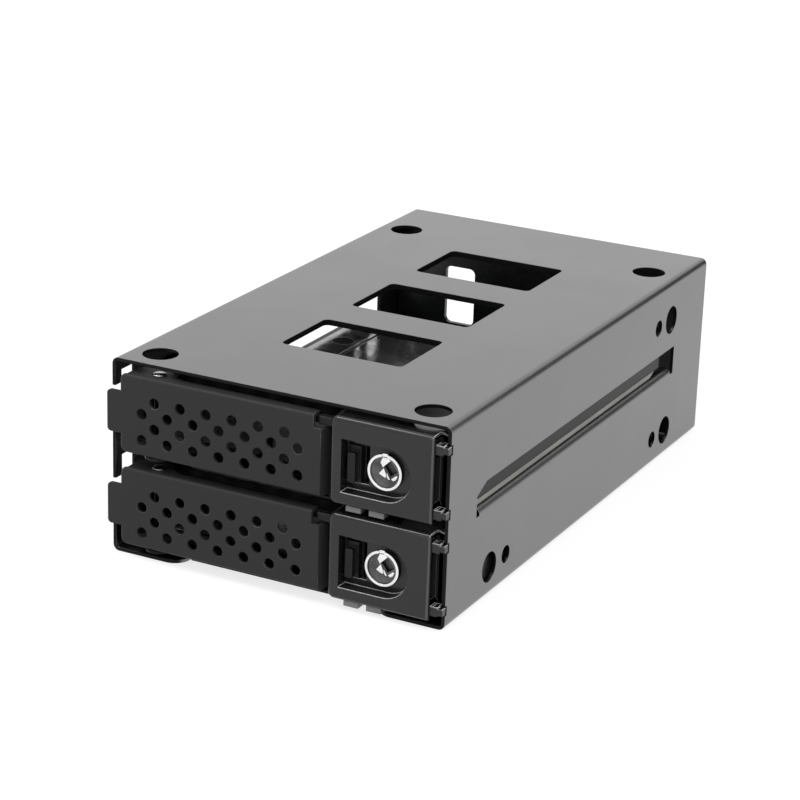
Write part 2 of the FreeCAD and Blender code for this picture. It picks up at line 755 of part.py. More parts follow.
def tray(bay, base):
    """Carrier tray: open floor, side walls, vented front wall and two lugs for the lever's pin."""
    carrier = Piece(f"tray_{bay}", y=FRONT, z=base)
    thick = S.tray_sheet
    lug_half = S.lug_width / 2
    lip_right = BEZEL_LEFT - S.running_gap
    carrier.add("XY", ZERO, thick, box(-TRAY, TRAY, S.front_wall_place, TRAY_REAR))
    carrier.add("XY", ZERO, thick, box(-S.floor_lip_left, lip_right, -S.floor_lip, S.front_wall_place))
    carrier.add("XY", ZERO, thick, box(
        PIN_X - S.ear_radius, PIN_X + S.ear_radius, S.pin_place, S.front_wall_place))
    carrier.add("XY", ZERO, thick, circle(PIN_X, S.pin_place, S.ear_radius * 2))
    carrier.cut("XY", -PAST, thick + PAST, rounded(
        S.left_strip - TRAY, TRAY - S.right_strip, LEFT_WALL_END, TRAY_REAR - S.rear_bar, S.floor_corner))
    floor_vent_end = LEFT_WALL_END - S.floor_vent_gap
    carrier.cut("XY", -PAST, thick + PAST, rounded(
        -S.floor_vent_width / 2, S.floor_vent_width / 2,
        floor_vent_end - S.floor_vent_length, floor_vent_end, S.floor_corner))

    wall_top = BEZEL_HEIGHT - S.tray_wall_drop
    for start, end, stop in ((TRAY - thick, TRAY, TRAY_REAR), (-TRAY, thick - TRAY, LEFT_WALL_END)):
        carrier.add("YZ", start, end, polygon(
            (S.tray_wall_start, ZERO), (stop, ZERO), (stop, wall_top / 2), (stop - S.rear_bar, wall_top),
            (S.tray_wall_start + S.rear_bar, wall_top), (S.tray_wall_start, wall_top / 2)))

    wall_left = PIN_X + S.ear_radius + S.running_gap
    lug_left = PIN_X - lug_half
    root_low = LUG_TOP - S.lug_root
    carrier.add("XZ", S.front_wall_place, FRONT_WALL_BACK, polygon(
        (wall_left, ZERO), (TRAY, ZERO), (TRAY, LUG_TOP), (lug_left, LUG_TOP),
        (lug_left, root_low), (wall_left, root_low)))
    carrier.add("XY", LUG_TOP - thick, LUG_TOP, box(
        lug_left, PIN_X + lug_half, S.pin_place, S.front_wall_place + thick / 2))
    carrier.add("XY", LUG_TOP - thick, LUG_TOP, circle(PIN_X, S.pin_place, S.lug_width))
    carrier.cut("XY", -PAST, LUG_TOP + PAST, circle(PIN_X, S.pin_place, S.pin_width + S.fit_gap * 2))

    vent_low = thick + S.vent_margin
    vent_high = root_low - S.running_gap
    vent_middle = (wall_left + BEZEL_LEFT) / 2
    carrier.cut("XZ", S.front_wall_place - PAST, FRONT_WALL_BACK + PAST,
                rounded(wall_left + S.vent_margin, vent_middle - S.vent_margin / 2,
                        vent_low, vent_high, S.floor_corner),
                rounded(vent_middle + S.vent_margin / 2, BEZEL_LEFT - S.vent_margin,
                        vent_low, vent_high, S.floor_corner),
                circle(LOCK_X, RECESS_MIDDLE, S.lock_barrel + S.fit_gap * 2),
                *(circle(SCREW_X, z, S.screw_shank + S.fit_gap * 2) for z in (S.screw_low, SCREW_HIGH)))

    rows = [DRIVE_REAR - S.drive_screw_far, DRIVE_REAR - S.drive_screw_near]
    carrier.cut("XY", -PAST, thick + PAST, *(circle(side * S.drive_screw_spread / 2, y, S.drive_screw_hole)
                                            for side in (-1, 1) for y in rows))
    rise = thick + S.drive_side_height
    front_hole = circle(DRIVE_REAR - S.drive_side_far, rise, S.drive_screw_hole)
    rear_hole = circle(DRIVE_REAR - S.drive_side_near, rise, S.drive_screw_hole)
    carrier.cut("YZ", TRAY - thick - PAST, TRAY + PAST, front_hole, rear_hole)
    carrier.cut("YZ", -TRAY - PAST, thick - TRAY + PAST, front_hole)


def tray_runners(bay, base):
    """Two glide strips under the tray, which run on the bottom flanges or on the ledges."""
    strips = Piece(f"tray_runners_{bay}", y=FRONT, z=base)
    inner = TRAY - S.runner_width
    start = S.tray_wall_start
    strips.add("YZ", inner, TRAY, polygon(
        (start, -S.runner_height), (TRAY_REAR - S.rear_bar, -S.runner_height),
        (TRAY_REAR - S.rear_bar / 2, ZERO), (start - S.runner_height, ZERO)))
    strips.add("YZ", -TRAY, -inner, polygon(
        (start, -S.runner_height), (LEFT_WALL_END - S.runner_height, -S.runner_height),
        (LEFT_WALL_END, ZERO), (start - S.runner_height, ZERO)))


def light_guides(bay, base):
    """Two clear bars under the tray that carry the lamps' light to the front, below the latch module."""
    guides = Piece(f"light_guides_{bay}", x=GUIDE_X, y=FRONT, z=base)
    bar = guides.add("XZ", S.guide_inset - S.bezel_proud, BOARD - S.guide_gap, box(
        ZERO, S.guide_width, -S.runner_height, ZERO))
    guides.repeat([bar], True, ("X", S.guide_spacing, 2))


def lever(bay, base):
    """Perforated lever: a folded plate with flanges, a side tab and two ears on the pin."""
    handle = Piece(f"lever_{bay}", y=FRONT, z=base)
    foot = S.lever_foot
    plate_back = LEVER_FACE + S.lever_sheet
    tip = LEVER_RIGHT + S.lever_end_lean
    handle.add("XZ", LEVER_FACE, plate_back, rounded(
        LEVER_LEFT, LEVER_RIGHT, foot, LEVER_TOP, S.lever_corner))
    ear_right = PIN_X + S.ear_radius
    ear_back = S.pin_place + S.ear_radius
    flange_left = LEVER_LEFT + S.lever_corner
    flange = polygon(
        (flange_left, LEVER_FACE), (LEVER_RIGHT, LEVER_FACE), (tip, LEVER_BACK),
        (ear_right + S.ear_radius, LEVER_BACK), (ear_right, S.pin_place + S.lever_sheet), (PIN_X, ear_back),
        (flange_left + S.lever_corner, ear_back), (flange_left, ear_back - S.lever_corner))
    for low in (foot, LEVER_TOP - S.lever_sheet):
        handle.add("XY", low, low + S.lever_sheet, flange)
        handle.add("XY", low, low + S.lever_sheet, circle(PIN_X, S.pin_place, S.ear_radius * 2))
    handle.add("XY", foot, LEVER_TOP, polygon(
        (LEVER_RIGHT, LEVER_FACE), (tip, LEVER_BACK), (tip - S.lever_sheet, LEVER_BACK),
        (LEVER_RIGHT - S.lever_sheet, LEVER_FACE)))
    handle.soften(S.lever_bend, handle.edges("X", (LEVER_FACE, foot), (LEVER_FACE, LEVER_TOP)))
    handle.add("XZ", LEVER_FACE, plate_back, rounded(
        -HALF, LEVER_LEFT + S.lever_corner, S.tab_foot, S.tab_foot + S.tab_height, S.tab_corner))
    handle.cut("XY", foot - PAST, LEVER_TOP + PAST, circle(PIN_X, S.pin_place, S.pin_width + S.fit_gap * 2))

    first_x = LEVER_LEFT + S.hole_first
    hole_spacing = (LEVER_RIGHT - S.hole_last - first_x) / (S.hole_columns - 1)
    last_row = S.row_spacing * 2
    wide = handle.cut("XZ", LEVER_FACE - PAST, plate_back + PAST,
                      circle(first_x, S.row_first, S.perforation))
    handle.repeat([wide], False, ("X", hole_spacing, S.hole_columns), ("Z", last_row, 2))
    narrow = handle.cut("XZ", LEVER_FACE - PAST, plate_back + PAST,
                        circle(first_x + hole_spacing / 2, S.row_first + S.row_spacing, S.perforation))
    handle.repeat([narrow], False, ("X", hole_spacing, S.hole_columns - 1), ("Z", last_row, 2))
    handle.cut("XZ", LEVER_FACE - PAST, LEVER_BACK + PAST, box(
        LEVER_RIGHT - S.notch_width, tip + PAST, LEVER_TOP - S.notch_height, LEVER_TOP + PAST))


def lever_pin(bay, base):
    """Headed pin through the lever's ears and the tray's lugs."""
    pin = Piece(f"lever_pin_{bay}", x=PIN_X, y=FRONT + S.pin_place, z=base)
    shank = S.pin_width / 2
    head = S.pin_head / 2
    top = LEVER_TOP + S.fit_gap
    pin.revolve("XZ", "V_Axis", polygon(
        (ZERO, ZERO), (shank, ZERO), (shank, top), (head, top), (head, top + S.pin_head_height / 2),
        (shank, top + S.pin_head_height), (ZERO, top + S.pin_head_height)))


def bezel(bay, base):
    """Latch module: a moulded shell with a finger recess, screw bosses and two hooked ears."""
    shell = Piece(f"bezel_{bay}", y=FRONT, z=base)
    face = -S.bezel_proud
    wall = S.bezel_wall
    inside_face = face + S.bezel_face
    left = BEZEL_LEFT
    high = BEZEL_HEIGHT
    shell.add("XZ", face, S.front_wall_place, rounded(left, TRAY, ZERO, high, S.bezel_corner))
    shell.soften(S.bezel_edge, shell.face_edges(face))
    shell.cut("XZ", inside_face, S.front_wall_place + PAST, rounded(
        left + wall, TRAY - wall, wall, high - wall, S.bezel_corner / 4))
    shell.add("XZ", inside_face, TUB_BACK, round_ended(
        RECESS_LEFT - wall, RECESS_LEFT + S.recess_length + wall, RECESS_MIDDLE, RECESS_HEIGHT + wall * 2))
    shell.cut("XZ", face - PAST, RECESS_FLOOR, round_ended(
        RECESS_LEFT, RECESS_LEFT + S.recess_length, RECESS_MIDDLE, RECESS_HEIGHT))
    window_half = (RECESS_HEIGHT - S.slider_short) / 2 + S.running_gap
    window_right = SLIDER_LEFT + S.slider_width + S.latch_travel + S.running_gap
    shell.cut("XZ", RECESS_FLOOR - wall, TUB_BACK + wall,
              circle(LOCK_X, RECESS_MIDDLE, S.lock_barrel + S.fit_gap * 2),
              box(SLIDER_LEFT - S.running_gap, window_right,
                  RECESS_MIDDLE - window_half, RECESS_MIDDLE + window_half))
    tongue_back = inside_face + S.running_gap + S.tongue_thick + S.running_gap
    shell.cut("YZ", left - PAST, left + wall + S.fit_gap, box(
        inside_face, tongue_back, TONGUE_LOW - S.running_gap, TONGUE_TOP + S.running_gap))
    shell.add("XZ", inside_face - S.bezel_face / 2, S.front_wall_place, box(
        RIB_X, RIB_X + S.spring_rib, TONGUE_LOW - S.running_gap * 2, high - wall / 2))
    for z in (S.screw_low, SCREW_HIGH):
        shell.add("XZ", inside_face - S.bezel_face / 2, S.front_wall_place,
                  circle(SCREW_X, z, S.boss_width))
        shell.cut("XZ", S.front_wall_place - S.screw_length, S.front_wall_place + PAST,
                  circle(SCREW_X, z, S.screw_shank + S.fit_gap * 2))
    for low in (S.ear_low, EAR_HIGH):
        shell.add("YZ", TRAY - wall / 2, TRAY + S.ear_reach, rounded(
            S.ear_hook - S.ear_depth, S.ear_hook, low, low + S.ear_height, S.ear_hook))


def bezel_screws(bay, base):
    """Two screws from the tray's front wall into the latch module."""
    screws = Piece(f"bezel_screws_{bay}", x=SCREW_X, y=FRONT + FRONT_WALL_BACK, z=base + S.screw_low)
    shank = S.screw_shank / 2
    head = S.screw_head / 2
    tip = -(S.screw_length - S.fit_gap)
    one = screws.revolve("XY", "V_Axis", polygon(
        (ZERO, S.screw_head_height), (head, S.screw_head_height), (head, ZERO), (shank, ZERO),
        (shank, tip), (ZERO, tip)))
    screws.repeat([one], True, ("Z", SCREW_HIGH - S.screw_low, 2))


def latch(bay, base):
    """Sprung slider with the finger paddle, whose tongue enters the notch in the lever's end."""
    slider = Piece(f"latch_{bay}", y=FRONT, z=base)
    middle = RECESS_MIDDLE
    half = (RECESS_HEIGHT - S.slider_short) / 2
    tail_right = TAIL_LEFT + S.slider_tail
    tongue_front = S.bezel_face - S.bezel_proud + S.running_gap
    slider.add("XZ", SLIDER_FRONT, SLIDER_BACK, box(TAIL_LEFT, tail_right, S.slider_foot, TONGUE_TOP))
    slider.add("XZ", RECESS_FLOOR - S.running_gap * 2, SLIDER_FRONT, box(
        SLIDER_LEFT, SLIDER_LEFT + S.slider_width, middle - half, middle + half))
    paddle_left = SLIDER_LEFT + S.slider_left
    paddle_half = half - S.paddle_short / 2
    paddle_middle = middle - S.paddle_drop
    slider.add("XZ", -S.paddle_front, RECESS_FLOOR - S.running_gap * 2, rounded(
        paddle_left, paddle_left + S.paddle_width,
        paddle_middle - paddle_half, paddle_middle + paddle_half, S.running_gap * 2))
    arm_right = TAIL_LEFT + S.spring_rib * 2
    slider.add("XZ", tongue_front, SLIDER_FRONT, box(TAIL_LEFT, arm_right, TONGUE_LOW, TONGUE_TOP))
    slider.add("XZ", tongue_front, tongue_front + S.tongue_thick, box(
        BEZEL_LEFT - S.tongue_reach, TAIL_LEFT, TONGUE_LOW, TONGUE_TOP))
    slider.add("YZ", tail_right, tail_right + S.spigot_length, circle(SPRING_Y, SPRING_Z, S.spigot))


def latch_spring(bay, base):
    """Coil spring of square wire between the slider and the rib in the latch module."""
    start = TAIL_LEFT + S.slider_tail + S.spring_wire / 2 + S.fit_gap
    length = RIB_X - S.fit_gap - S.spring_wire / 2 - start
    spring = Piece(f"latch_spring_{bay}", x=start, y=FRONT + SPRING_Y, z=base + SPRING_Z)
    half = S.spring_wire / 2
    radius = S.spring_width / 2
    spring.coil(box(-half, half, radius - half, radius + half), length / S.spring_turns, length)


def lock(bay, base):
    """Lock: ringed housing with its nut, and the plug that turns in it with cam and screw."""
    place = {"x": LOCK_X, "y": FRONT, "z": base + RECESS_MIDDLE}
    ring = S.lock_ring / 2
    barrel = S.lock_barrel / 2
    bore = S.lock_plug / 2 + S.fit_gap
    front = -S.lock_ring_front
    housing = Piece(f"lock_housing_{bay}", **place)
    housing.revolve("XY", "V_Axis", polygon(
        (S.lock_cup / 2, front), (ring - S.running_gap, front), (ring, front + S.running_gap),
        (ring, RECESS_FLOOR), (barrel, RECESS_FLOOR), (barrel, S.lock_length), (bore, S.lock_length),
        (bore, front + S.cam_thick)))
    housing.cut("XZ", front - PAST, front + S.lock_notch_depth, box(
        -S.lock_notch / 2, S.lock_notch / 2, barrel - S.lock_notch, ring + PAST))
    nut = Piece(f"lock_nut_{bay}", **place)
    nut.add("XZ", FRONT_WALL_BACK, FRONT_WALL_BACK + S.nut_height, hexagon(S.nut_flats))
    nut.cut("XZ", FRONT_WALL_BACK - PAST, FRONT_WALL_BACK + S.nut_height + PAST,
            circle(ZERO, ZERO, S.lock_barrel + S.fit_gap * 2))

    plug_front = front + S.cam_thick - S.running_gap
    plug_back = S.lock_length + S.running_gap
    plug = Piece(f"lock_plug_{bay}", turn=S.key_turn, **place)
    plug.add("XZ", plug_front, plug_back, circle(ZERO, ZERO, S.lock_plug))
    plug.cut("XZ", plug_front - PAST, plug_front + S.key_slot_depth, box(
        -S.key_slot_back, S.key_slot_front, -S.key_slot / 2, S.key_slot / 2))
    plug.cut("XZ", plug_back - S.cam_screw_length, plug_back + PAST,
             circle(ZERO, ZERO, S.cam_screw + S.fit_gap * 2))
    cam = Piece(f"lock_cam_{bay}", **place)
    cam.add("XZ", plug_back, plug_back + S.cam_thick, circle(ZERO, ZERO, S.lock_plug + S.cam_thick))
    cam.add("XZ", plug_back, plug_back + S.cam_thick, rounded(
        -S.cam_width / 2, S.cam_width / 2, ZERO, S.cam_reach, S.cam_thick))
    cam.cut("XZ", plug_back - PAST, plug_back + S.cam_thick + PAST,
            circle(ZERO, ZERO, S.cam_screw + S.fit_gap * 2))
    screw = Piece(f"lock_screw_{bay}", **place)
    shank = S.cam_screw / 2
    head = S.cam_screw_head / 2
    seat = plug_back + S.cam_thick
    tip = plug_back - S.cam_screw_length + S.running_gap
    screw.revolve("XY", "V_Axis", polygon(
        (ZERO, tip), (shank, tip), (shank, seat), (head, seat), (head, seat + S.cam_screw_head_height),
        (ZERO, seat + S.cam_screw_head_height)))


cage_shell()
backplane()
CARRIER = (tray, tray_runners, light_guides, lever, lever_pin, bezel, bezel_screws, latch, latch_spring, lock)
for bay_name, bay_base in BAYS.items():
    for make in CARRIER:
        make(bay_name, bay_base)

for piece in Piece.made:
    piece.place()
doc.recompute()
for item in doc.Objects:
    if "Invalid" in item.State or "Error" in item.State:
        raise RuntimeError(f"{item.Name}: {item.State}")
for piece in Piece.made:
    shape = piece.body.Shape
    if shape.isNull() or not shape.isValid():
        raise RuntimeError(f"{piece.body.Label} is not a valid solid")

os.makedirs("parts", exist_ok=True)
for piece in Piece.made:
    piece.body.Shape.exportStep(f"parts/{piece.body.Label}.step")
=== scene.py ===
import math
import random
from contextlib import contextmanager

import bmesh
import bpy
from bpy.props import FloatProperty, FloatVectorProperty, IntProperty, PointerProperty
from mathutils import Matrix, Vector


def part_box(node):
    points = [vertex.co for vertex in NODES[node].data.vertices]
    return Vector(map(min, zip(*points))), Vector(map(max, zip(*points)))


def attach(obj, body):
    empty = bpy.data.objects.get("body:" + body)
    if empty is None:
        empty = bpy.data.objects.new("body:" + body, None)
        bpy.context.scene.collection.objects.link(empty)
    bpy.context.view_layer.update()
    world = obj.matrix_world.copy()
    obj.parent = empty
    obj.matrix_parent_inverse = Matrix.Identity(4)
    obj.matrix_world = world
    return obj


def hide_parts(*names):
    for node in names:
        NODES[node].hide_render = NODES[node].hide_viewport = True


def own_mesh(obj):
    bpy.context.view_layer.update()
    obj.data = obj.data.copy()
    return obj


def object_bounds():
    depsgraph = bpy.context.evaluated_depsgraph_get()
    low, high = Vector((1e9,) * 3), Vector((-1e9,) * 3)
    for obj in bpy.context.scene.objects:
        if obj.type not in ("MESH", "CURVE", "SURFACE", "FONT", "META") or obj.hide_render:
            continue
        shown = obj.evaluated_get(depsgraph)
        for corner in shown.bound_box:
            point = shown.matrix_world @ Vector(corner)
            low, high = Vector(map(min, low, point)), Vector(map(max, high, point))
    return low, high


bl_info = {
    "name": "Two-bay drive cage",
    "version": (1, 0, 0),
    "blender": (4, 5, 0),
    "location": "View3D > Sidebar > Drive cage",
    "description": "Dresses a folded drive cage with two lever carriers, latch modules, locks and backplane",
    "category": "Object",
}

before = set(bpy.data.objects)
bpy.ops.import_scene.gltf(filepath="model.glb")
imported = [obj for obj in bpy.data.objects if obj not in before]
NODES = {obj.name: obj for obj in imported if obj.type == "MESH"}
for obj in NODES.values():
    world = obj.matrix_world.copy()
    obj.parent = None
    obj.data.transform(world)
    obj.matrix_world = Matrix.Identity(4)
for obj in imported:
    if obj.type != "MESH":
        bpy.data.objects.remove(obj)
CAD_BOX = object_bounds()
BAYS = ("upper", "lower")
FINISHES = {}
MM = 0.001
QUARTER = math.radians(90)
SHARP_ANGLE = math.radians(32)
EASED_ANGLE = math.radians(30)
SAME_PLACE = 1e-7
SAME_CORNER = 1e-6


def mm(*lengths):
    """Millimetres as metres."""
    return [length * MM for length in lengths]


def mm_points(*points):
    """Points in millimetres as points in metres."""
    return [tuple(mm(*point)) for point in points]


def colour_property(name, description, value):
    """Colour that a user can change, as linear values."""
    return FloatVectorProperty(name=name, description=description, subtype="COLOR", size=3, min=0.0, max=1.0,
                               default=value)


def length_property(name, description, millimetres):
    """Length that a user can change, given in millimetres and kept in metres."""
    return FloatProperty(name=name, description=description, subtype="DISTANCE", unit="LENGTH", min=0.0,
                         default=millimetres * MM, precision=5)


def level_property(name, description, value):
    """Level of light that a user can change."""
    return FloatProperty(name=name, description=description, min=0.0, default=value)


def count_property(name, description, value, least, most=128):
    """Number that a user can change."""
    return IntProperty(name=name, description=description, min=least, max=most, default=value)


class CageFinishes(bpy.types.PropertyGroup):
    """Colours of the cage's finishes."""

    coat: colour_property("Cage coat", "Satin dark metal coat of the folded cage", (0.184, 0.184, 0.186))
    cut_edge: colour_property("Cut edge", "Dull black where the cage's sheet was cut", (0.006, 0.006, 0.006))
    # Partly the trays' own black coat, partly painted shade: set far darker and duller than the cage's coat
    # because the trays sit in shade inside the cage.
    tray_coat: colour_property("Tray coat", "Coat of the thin carrier trays", (0.009, 0.009, 0.0092))
    film: colour_property("Film", "Smoked metal film on the floors of the trays", (0.3, 0.3, 0.3))
    lever_coat: colour_property("Lever coat", "Coat of the perforated levers", (0.03, 0.03, 0.0303))
    bare_edge: colour_property("Bare edge", "Metal that shows where a coat has worn thin", (0.2, 0.2, 0.2))
    moulding: colour_property("Moulding", "Plastic of latch modules and catches", (0.012, 0.012, 0.0123))
    bright_plate: colour_property("Bright plate", "Polished plating of the locks", (0.82, 0.82, 0.82))
    dark_plate: colour_property("Dark plate", "Shaded metal of the lock's turning face", (0.12, 0.12, 0.121))
    # Painted shade: colour of the plate that fills the lock's keyway and stands in for its shaded depth.
    keyway: colour_property("Keyway", "Dark metal in the lock's keyway", (0.06, 0.06, 0.06))
    steel: colour_property("Steel", "Turned steel of pins and screws", (0.6, 0.6, 0.59))
    zinc: colour_property("Zinc", "Plated brackets, nuts and cams", (0.56, 0.57, 0.57))
    solder_mask: colour_property("Solder mask", "Lacquer of the backplane", (0.009, 0.013, 0.011))
    gold: colour_property("Gold", "Plated contacts", (0.78, 0.55, 0.2))
    nylon: colour_property("Nylon", "Natural nylon of the power port", (0.72, 0.7, 0.63))
    frosted: colour_property("Frosted bar", "Light guides with their frosted ends", (0.22, 0.221, 0.223))
    lens: colour_property("Lamp lens", "Clear lenses of the status lamps", (0.7, 0.72, 0.64))
    epoxy: colour_property("Epoxy", "Bodies of the chips and feet of the capacitors", (0.02, 0.02, 0.021))
    ceramic: colour_property("Ceramic", "Bodies of the small parts on the backplane", (0.3, 0.22, 0.14))


class CageDetails(bpy.types.PropertyGroup):
    """Small sizes of the dressed pieces."""

    rim: length_property("Rim", "Depth of the rims round the openings in the cage's top", 3.2)
    fold: length_property("Fold", "Width of the cage's rounded folds", 2.6)
    edge_radius: length_property("Edge radius", "Rounding that coated edges show", 0.35)
    worn_edge: length_property("Worn edge", "Width of the worn line along an edge", 0.3)
    # Painted highlight: width of the bright line painted into the plastic along its upper edges.
    painted_highlight_width: length_property("Polished edge", "Width of the bright line on upper edges", 0.45)
    film_thickness: length_property("Film thickness", "Thickness of the film on the trays' floors", 0.25)
    film_length: length_property("Film length", "Length of that film, up to the rear of the tray", 138.0)
    spring_wire: length_property("Spring wire", "Wire of the catch's spring", 0.4)
    spring_turns: count_property("Spring turns", "Turns of the catch's spring", 5, 2)
    catch_travel: length_property("Catch travel", "How far the catch slides", 2.0)
    ear_reach: length_property("Ear reach", "How far a latch module's ears reach past its right side", 1.5)
    side_step: length_property("Side step", "Width of the step down the right side of the latch modules", 2.3)
    step_depth: length_property("Step depth", "Depth of that step below the module's face", 4.4)
    ring_lip: length_property("Ring lip", "Rounding of the lock ring's lip", 0.35)
    ring_rim: length_property("Ring rim", "Width of the lock ring's bright face", 0.85)
    screw_thread: length_property("Screw thread", "Rise of the screws' thread for one turn", 0.7)
    barrel_thread: length_property("Barrel thread", "Rise of the lock barrel's thread for one turn", 0.9)
    pin_width: length_property("Pin width", "Width of the levers' pins below their heads", 3.0)
    trace_width: length_property("Trace width", "Width of the copper lines on the backplane", 0.45)
    contact_width: length_property("Contact width", "Width of a gold contact in the sockets", 0.75)
    contact_pitch: length_property("Contact pitch", "Distance between gold contacts", 1.27)
    turned_steps: count_property("Turned steps", "Flats round a turned piece", 64, 24)


class CageStage(bpy.types.PropertyGroup):
    """Floor, light and camera."""

    floor: colour_property("Floor", "Matt floor, which its glow brings up to white", (0.3, 0.3, 0.3))
    floor_glow: level_property("Floor glow", "Light that brings the floor up to white in the picture", 0.77)
    card: colour_property("Card", "Black card behind the cage", (0.01, 0.01, 0.01))
    surround: level_property("Surround", "Level of the white surroundings", 0.75)
    key: level_property("Key", "Brightness of the large overhead light", 1.6)
    edge: level_property("Edge light", "Brightness of the small light that draws the edges", 9.0)
    rear: level_property("Rear", "Brightness of the low light behind the cage", 0.33)
    lens: FloatProperty(name="Lens", description="Focal length", subtype="DISTANCE_CAMERA", min=10.0,
                        default=117.2)


class Nodes:
    """Nodes of a material or of the world."""

    def __init__(self, tree):
        self.tree = tree

    def feed(self, socket, value):
        """Gives a socket a value or the output of another node."""
        if isinstance(value, bpy.types.NodeSocket):
            self.tree.links.new(value, socket)
        else:
            socket.default_value = value

    def node(self, kind, output, inputs, **settings):
        """Adds a node with these inputs and settings, and gives one of its outputs."""
        made = self.tree.nodes.new(f"ShaderNode{kind}")
        for name, value in settings.items():
            setattr(made, name, value)
        for name, value in inputs.items():
            self.feed(made.inputs[name], value)
        return made.outputs[output]

    def combined(self, operation, first, second):
        return self.node("Math", "Value", {0: first, 1: second}, operation=operation)

    def times(self, first, second):
        return self.combined("MULTIPLY", first, second)

    def white_rays(self):
        """1 for the rays that show the background: straight, mirrored or through glass."""
        total = self.node("LightPath", "Is Camera Ray", {})
        for kind in ("Is Glossy Ray", "Is Transmission Ray"):
            total = self.combined("MAXIMUM", total, self.node("LightPath", kind, {}))
        return total


class Finish(Nodes):
    """A material built up in layers: colour patches, wear, grain and soft edges."""

    def __init__(self, name, colour, roughness, metallic=0.0, **sockets):
        self.material = bpy.data.materials.new(name)
        self.material.use_nodes = True
        self.material.diffuse_color = (*colour, 1.0)
        super().__init__(self.material.node_tree)
        self.shader = self.tree.nodes["Principled BSDF"]
        values = {"Base Color": (*colour, 1.0), "Roughness": roughness, "Metallic": metallic, **sockets}
        for socket, value in values.items():
            self.shader.inputs[socket.replace("_", " ")].default_value = value
        self.place = self.node("TexCoord", "Object", {})
        self.normal = None

    def noise(self, size, detail=3.0, stretch=(1.0, 1.0, 1.0), distortion=0.0):
        """Cloudy pattern whose patches are about this size in metres."""
        place = self.node("Mapping", "Vector", {"Vector": self.place, "Scale": stretch})
        inputs = {"Vector": place, "Scale": 0.5 / size, "Detail": detail, "Distortion": distortion}
        return self.node("TexNoise", "Fac", inputs)

    def cells(self, size):
        """Irregular cells of about this size in metres."""
        inputs = {"Vector": self.place, "Scale": 1.0 / size}
        return self.node("TexVoronoi", "Distance", inputs, feature="F1")

    def spread(self, source, low, high, to_low=0.0, to_high=1.0):
        """Takes the values between two levels to two others."""
        inputs = {"Value": source, "From Min": low, "From Max": high, "To Min": to_low, "To Max": to_high}
        return self.node("MapRange", "Result", inputs, interpolation_type="SMOOTHSTEP")

    def along(self, vector, axis):
        """One part of a vector."""
        return self.node("SeparateXYZ", axis, {"Vector": vector})

    def size_along(self, vector, axis):
        """One part of a vector, without its sign."""
        return self.node("Math", "Value", {0: self.along(vector, axis)}, operation="ABSOLUTE")

    def surface_normal(self, kind="Normal"):
        return self.node("NewGeometry", kind, {})

    def rounded_normal(self, radius):
        """Normal of the surface with its edges rounded off."""
        return self.node("Bevel", "Normal", {"Radius": radius}, samples=6)

    def cut_edges(self, rim, fold, high):
        """1 where a folded sheet was cut: at its two ends, and round the openings in its top."""
        soft = 0.2 * MM
        normal = self.surface_normal("True Normal")
        ends = self.spread(self.size_along(normal, "Y"), 0.5, 0.75)
        upright = self.spread(self.size_along(normal, "Z"), 0.6, 0.4)
        in_top = self.spread(self.along(self.place, "Z"), high.z - rim - soft, high.z - rim)
        off_folds = self.spread(self.size_along(self.place, "X"), high.x - fold, high.x - fold - soft)
        return self.combined("MAXIMUM", ends, self.times(self.times(upright, in_top), off_folds))

    def edges(self, radius):
        """1 along outer edges, 0 on flat faces."""
        normals = {0: self.rounded_normal(radius), 1: self.surface_normal()}
        turn = self.node("VectorMath", "Value", normals, operation="DOT_PRODUCT")
        return self.spread(turn, 0.995, 0.88)

    def upper_edges(self, radius):
        """1 along the edges that look upwards."""
        upward = self.along(self.rounded_normal(radius), "Z")
        return self.times(self.edges(radius), self.spread(upward, 0.2, 0.5))

    def right_bends(self):
        """1 where an edge rounds off to the right."""
        across = self.along(self.surface_normal(), "X")
        return self.times(self.spread(across, 0.15, 0.45), self.spread(across, 0.97, 0.8))

    def tint(self, mask, colour):
        """Lays another colour over the present one where the mask is 1."""
        socket = self.shader.inputs["Base Color"]
        present = socket.links[0].from_socket if socket.is_linked else socket.default_value
        inputs = {"Factor": mask, 6: present, 7: (*colour, 1.0)}
        self.feed(socket, self.node("Mix", 2, inputs, data_type="RGBA"))

    def sheen_patches(self, source, low, high):
        """Roughness that changes over the surface between two levels."""
        self.feed(self.shader.inputs["Roughness"], self.spread(source, 0.3, 0.7, low, high))

    def soften(self, radius):
        """Rounds the look of the edges."""
        self.set_normal(self.rounded_normal(radius))

    def bump(self, height, depth, strength):
        """Fine relief of this depth in metres."""
        inputs = {"Height": height, "Distance": depth, "Strength": strength}
        if self.normal:
            inputs["Normal"] = self.normal
        self.set_normal(self.node("Bump", "Normal", inputs))

    def set_normal(self, source):
        self.normal = source
        self.feed(self.shader.inputs["Normal"], source)


def lighter(colour, times):
    """The same colour, brighter or darker."""
    return tuple(min(1.0, part * times) for part in colour)


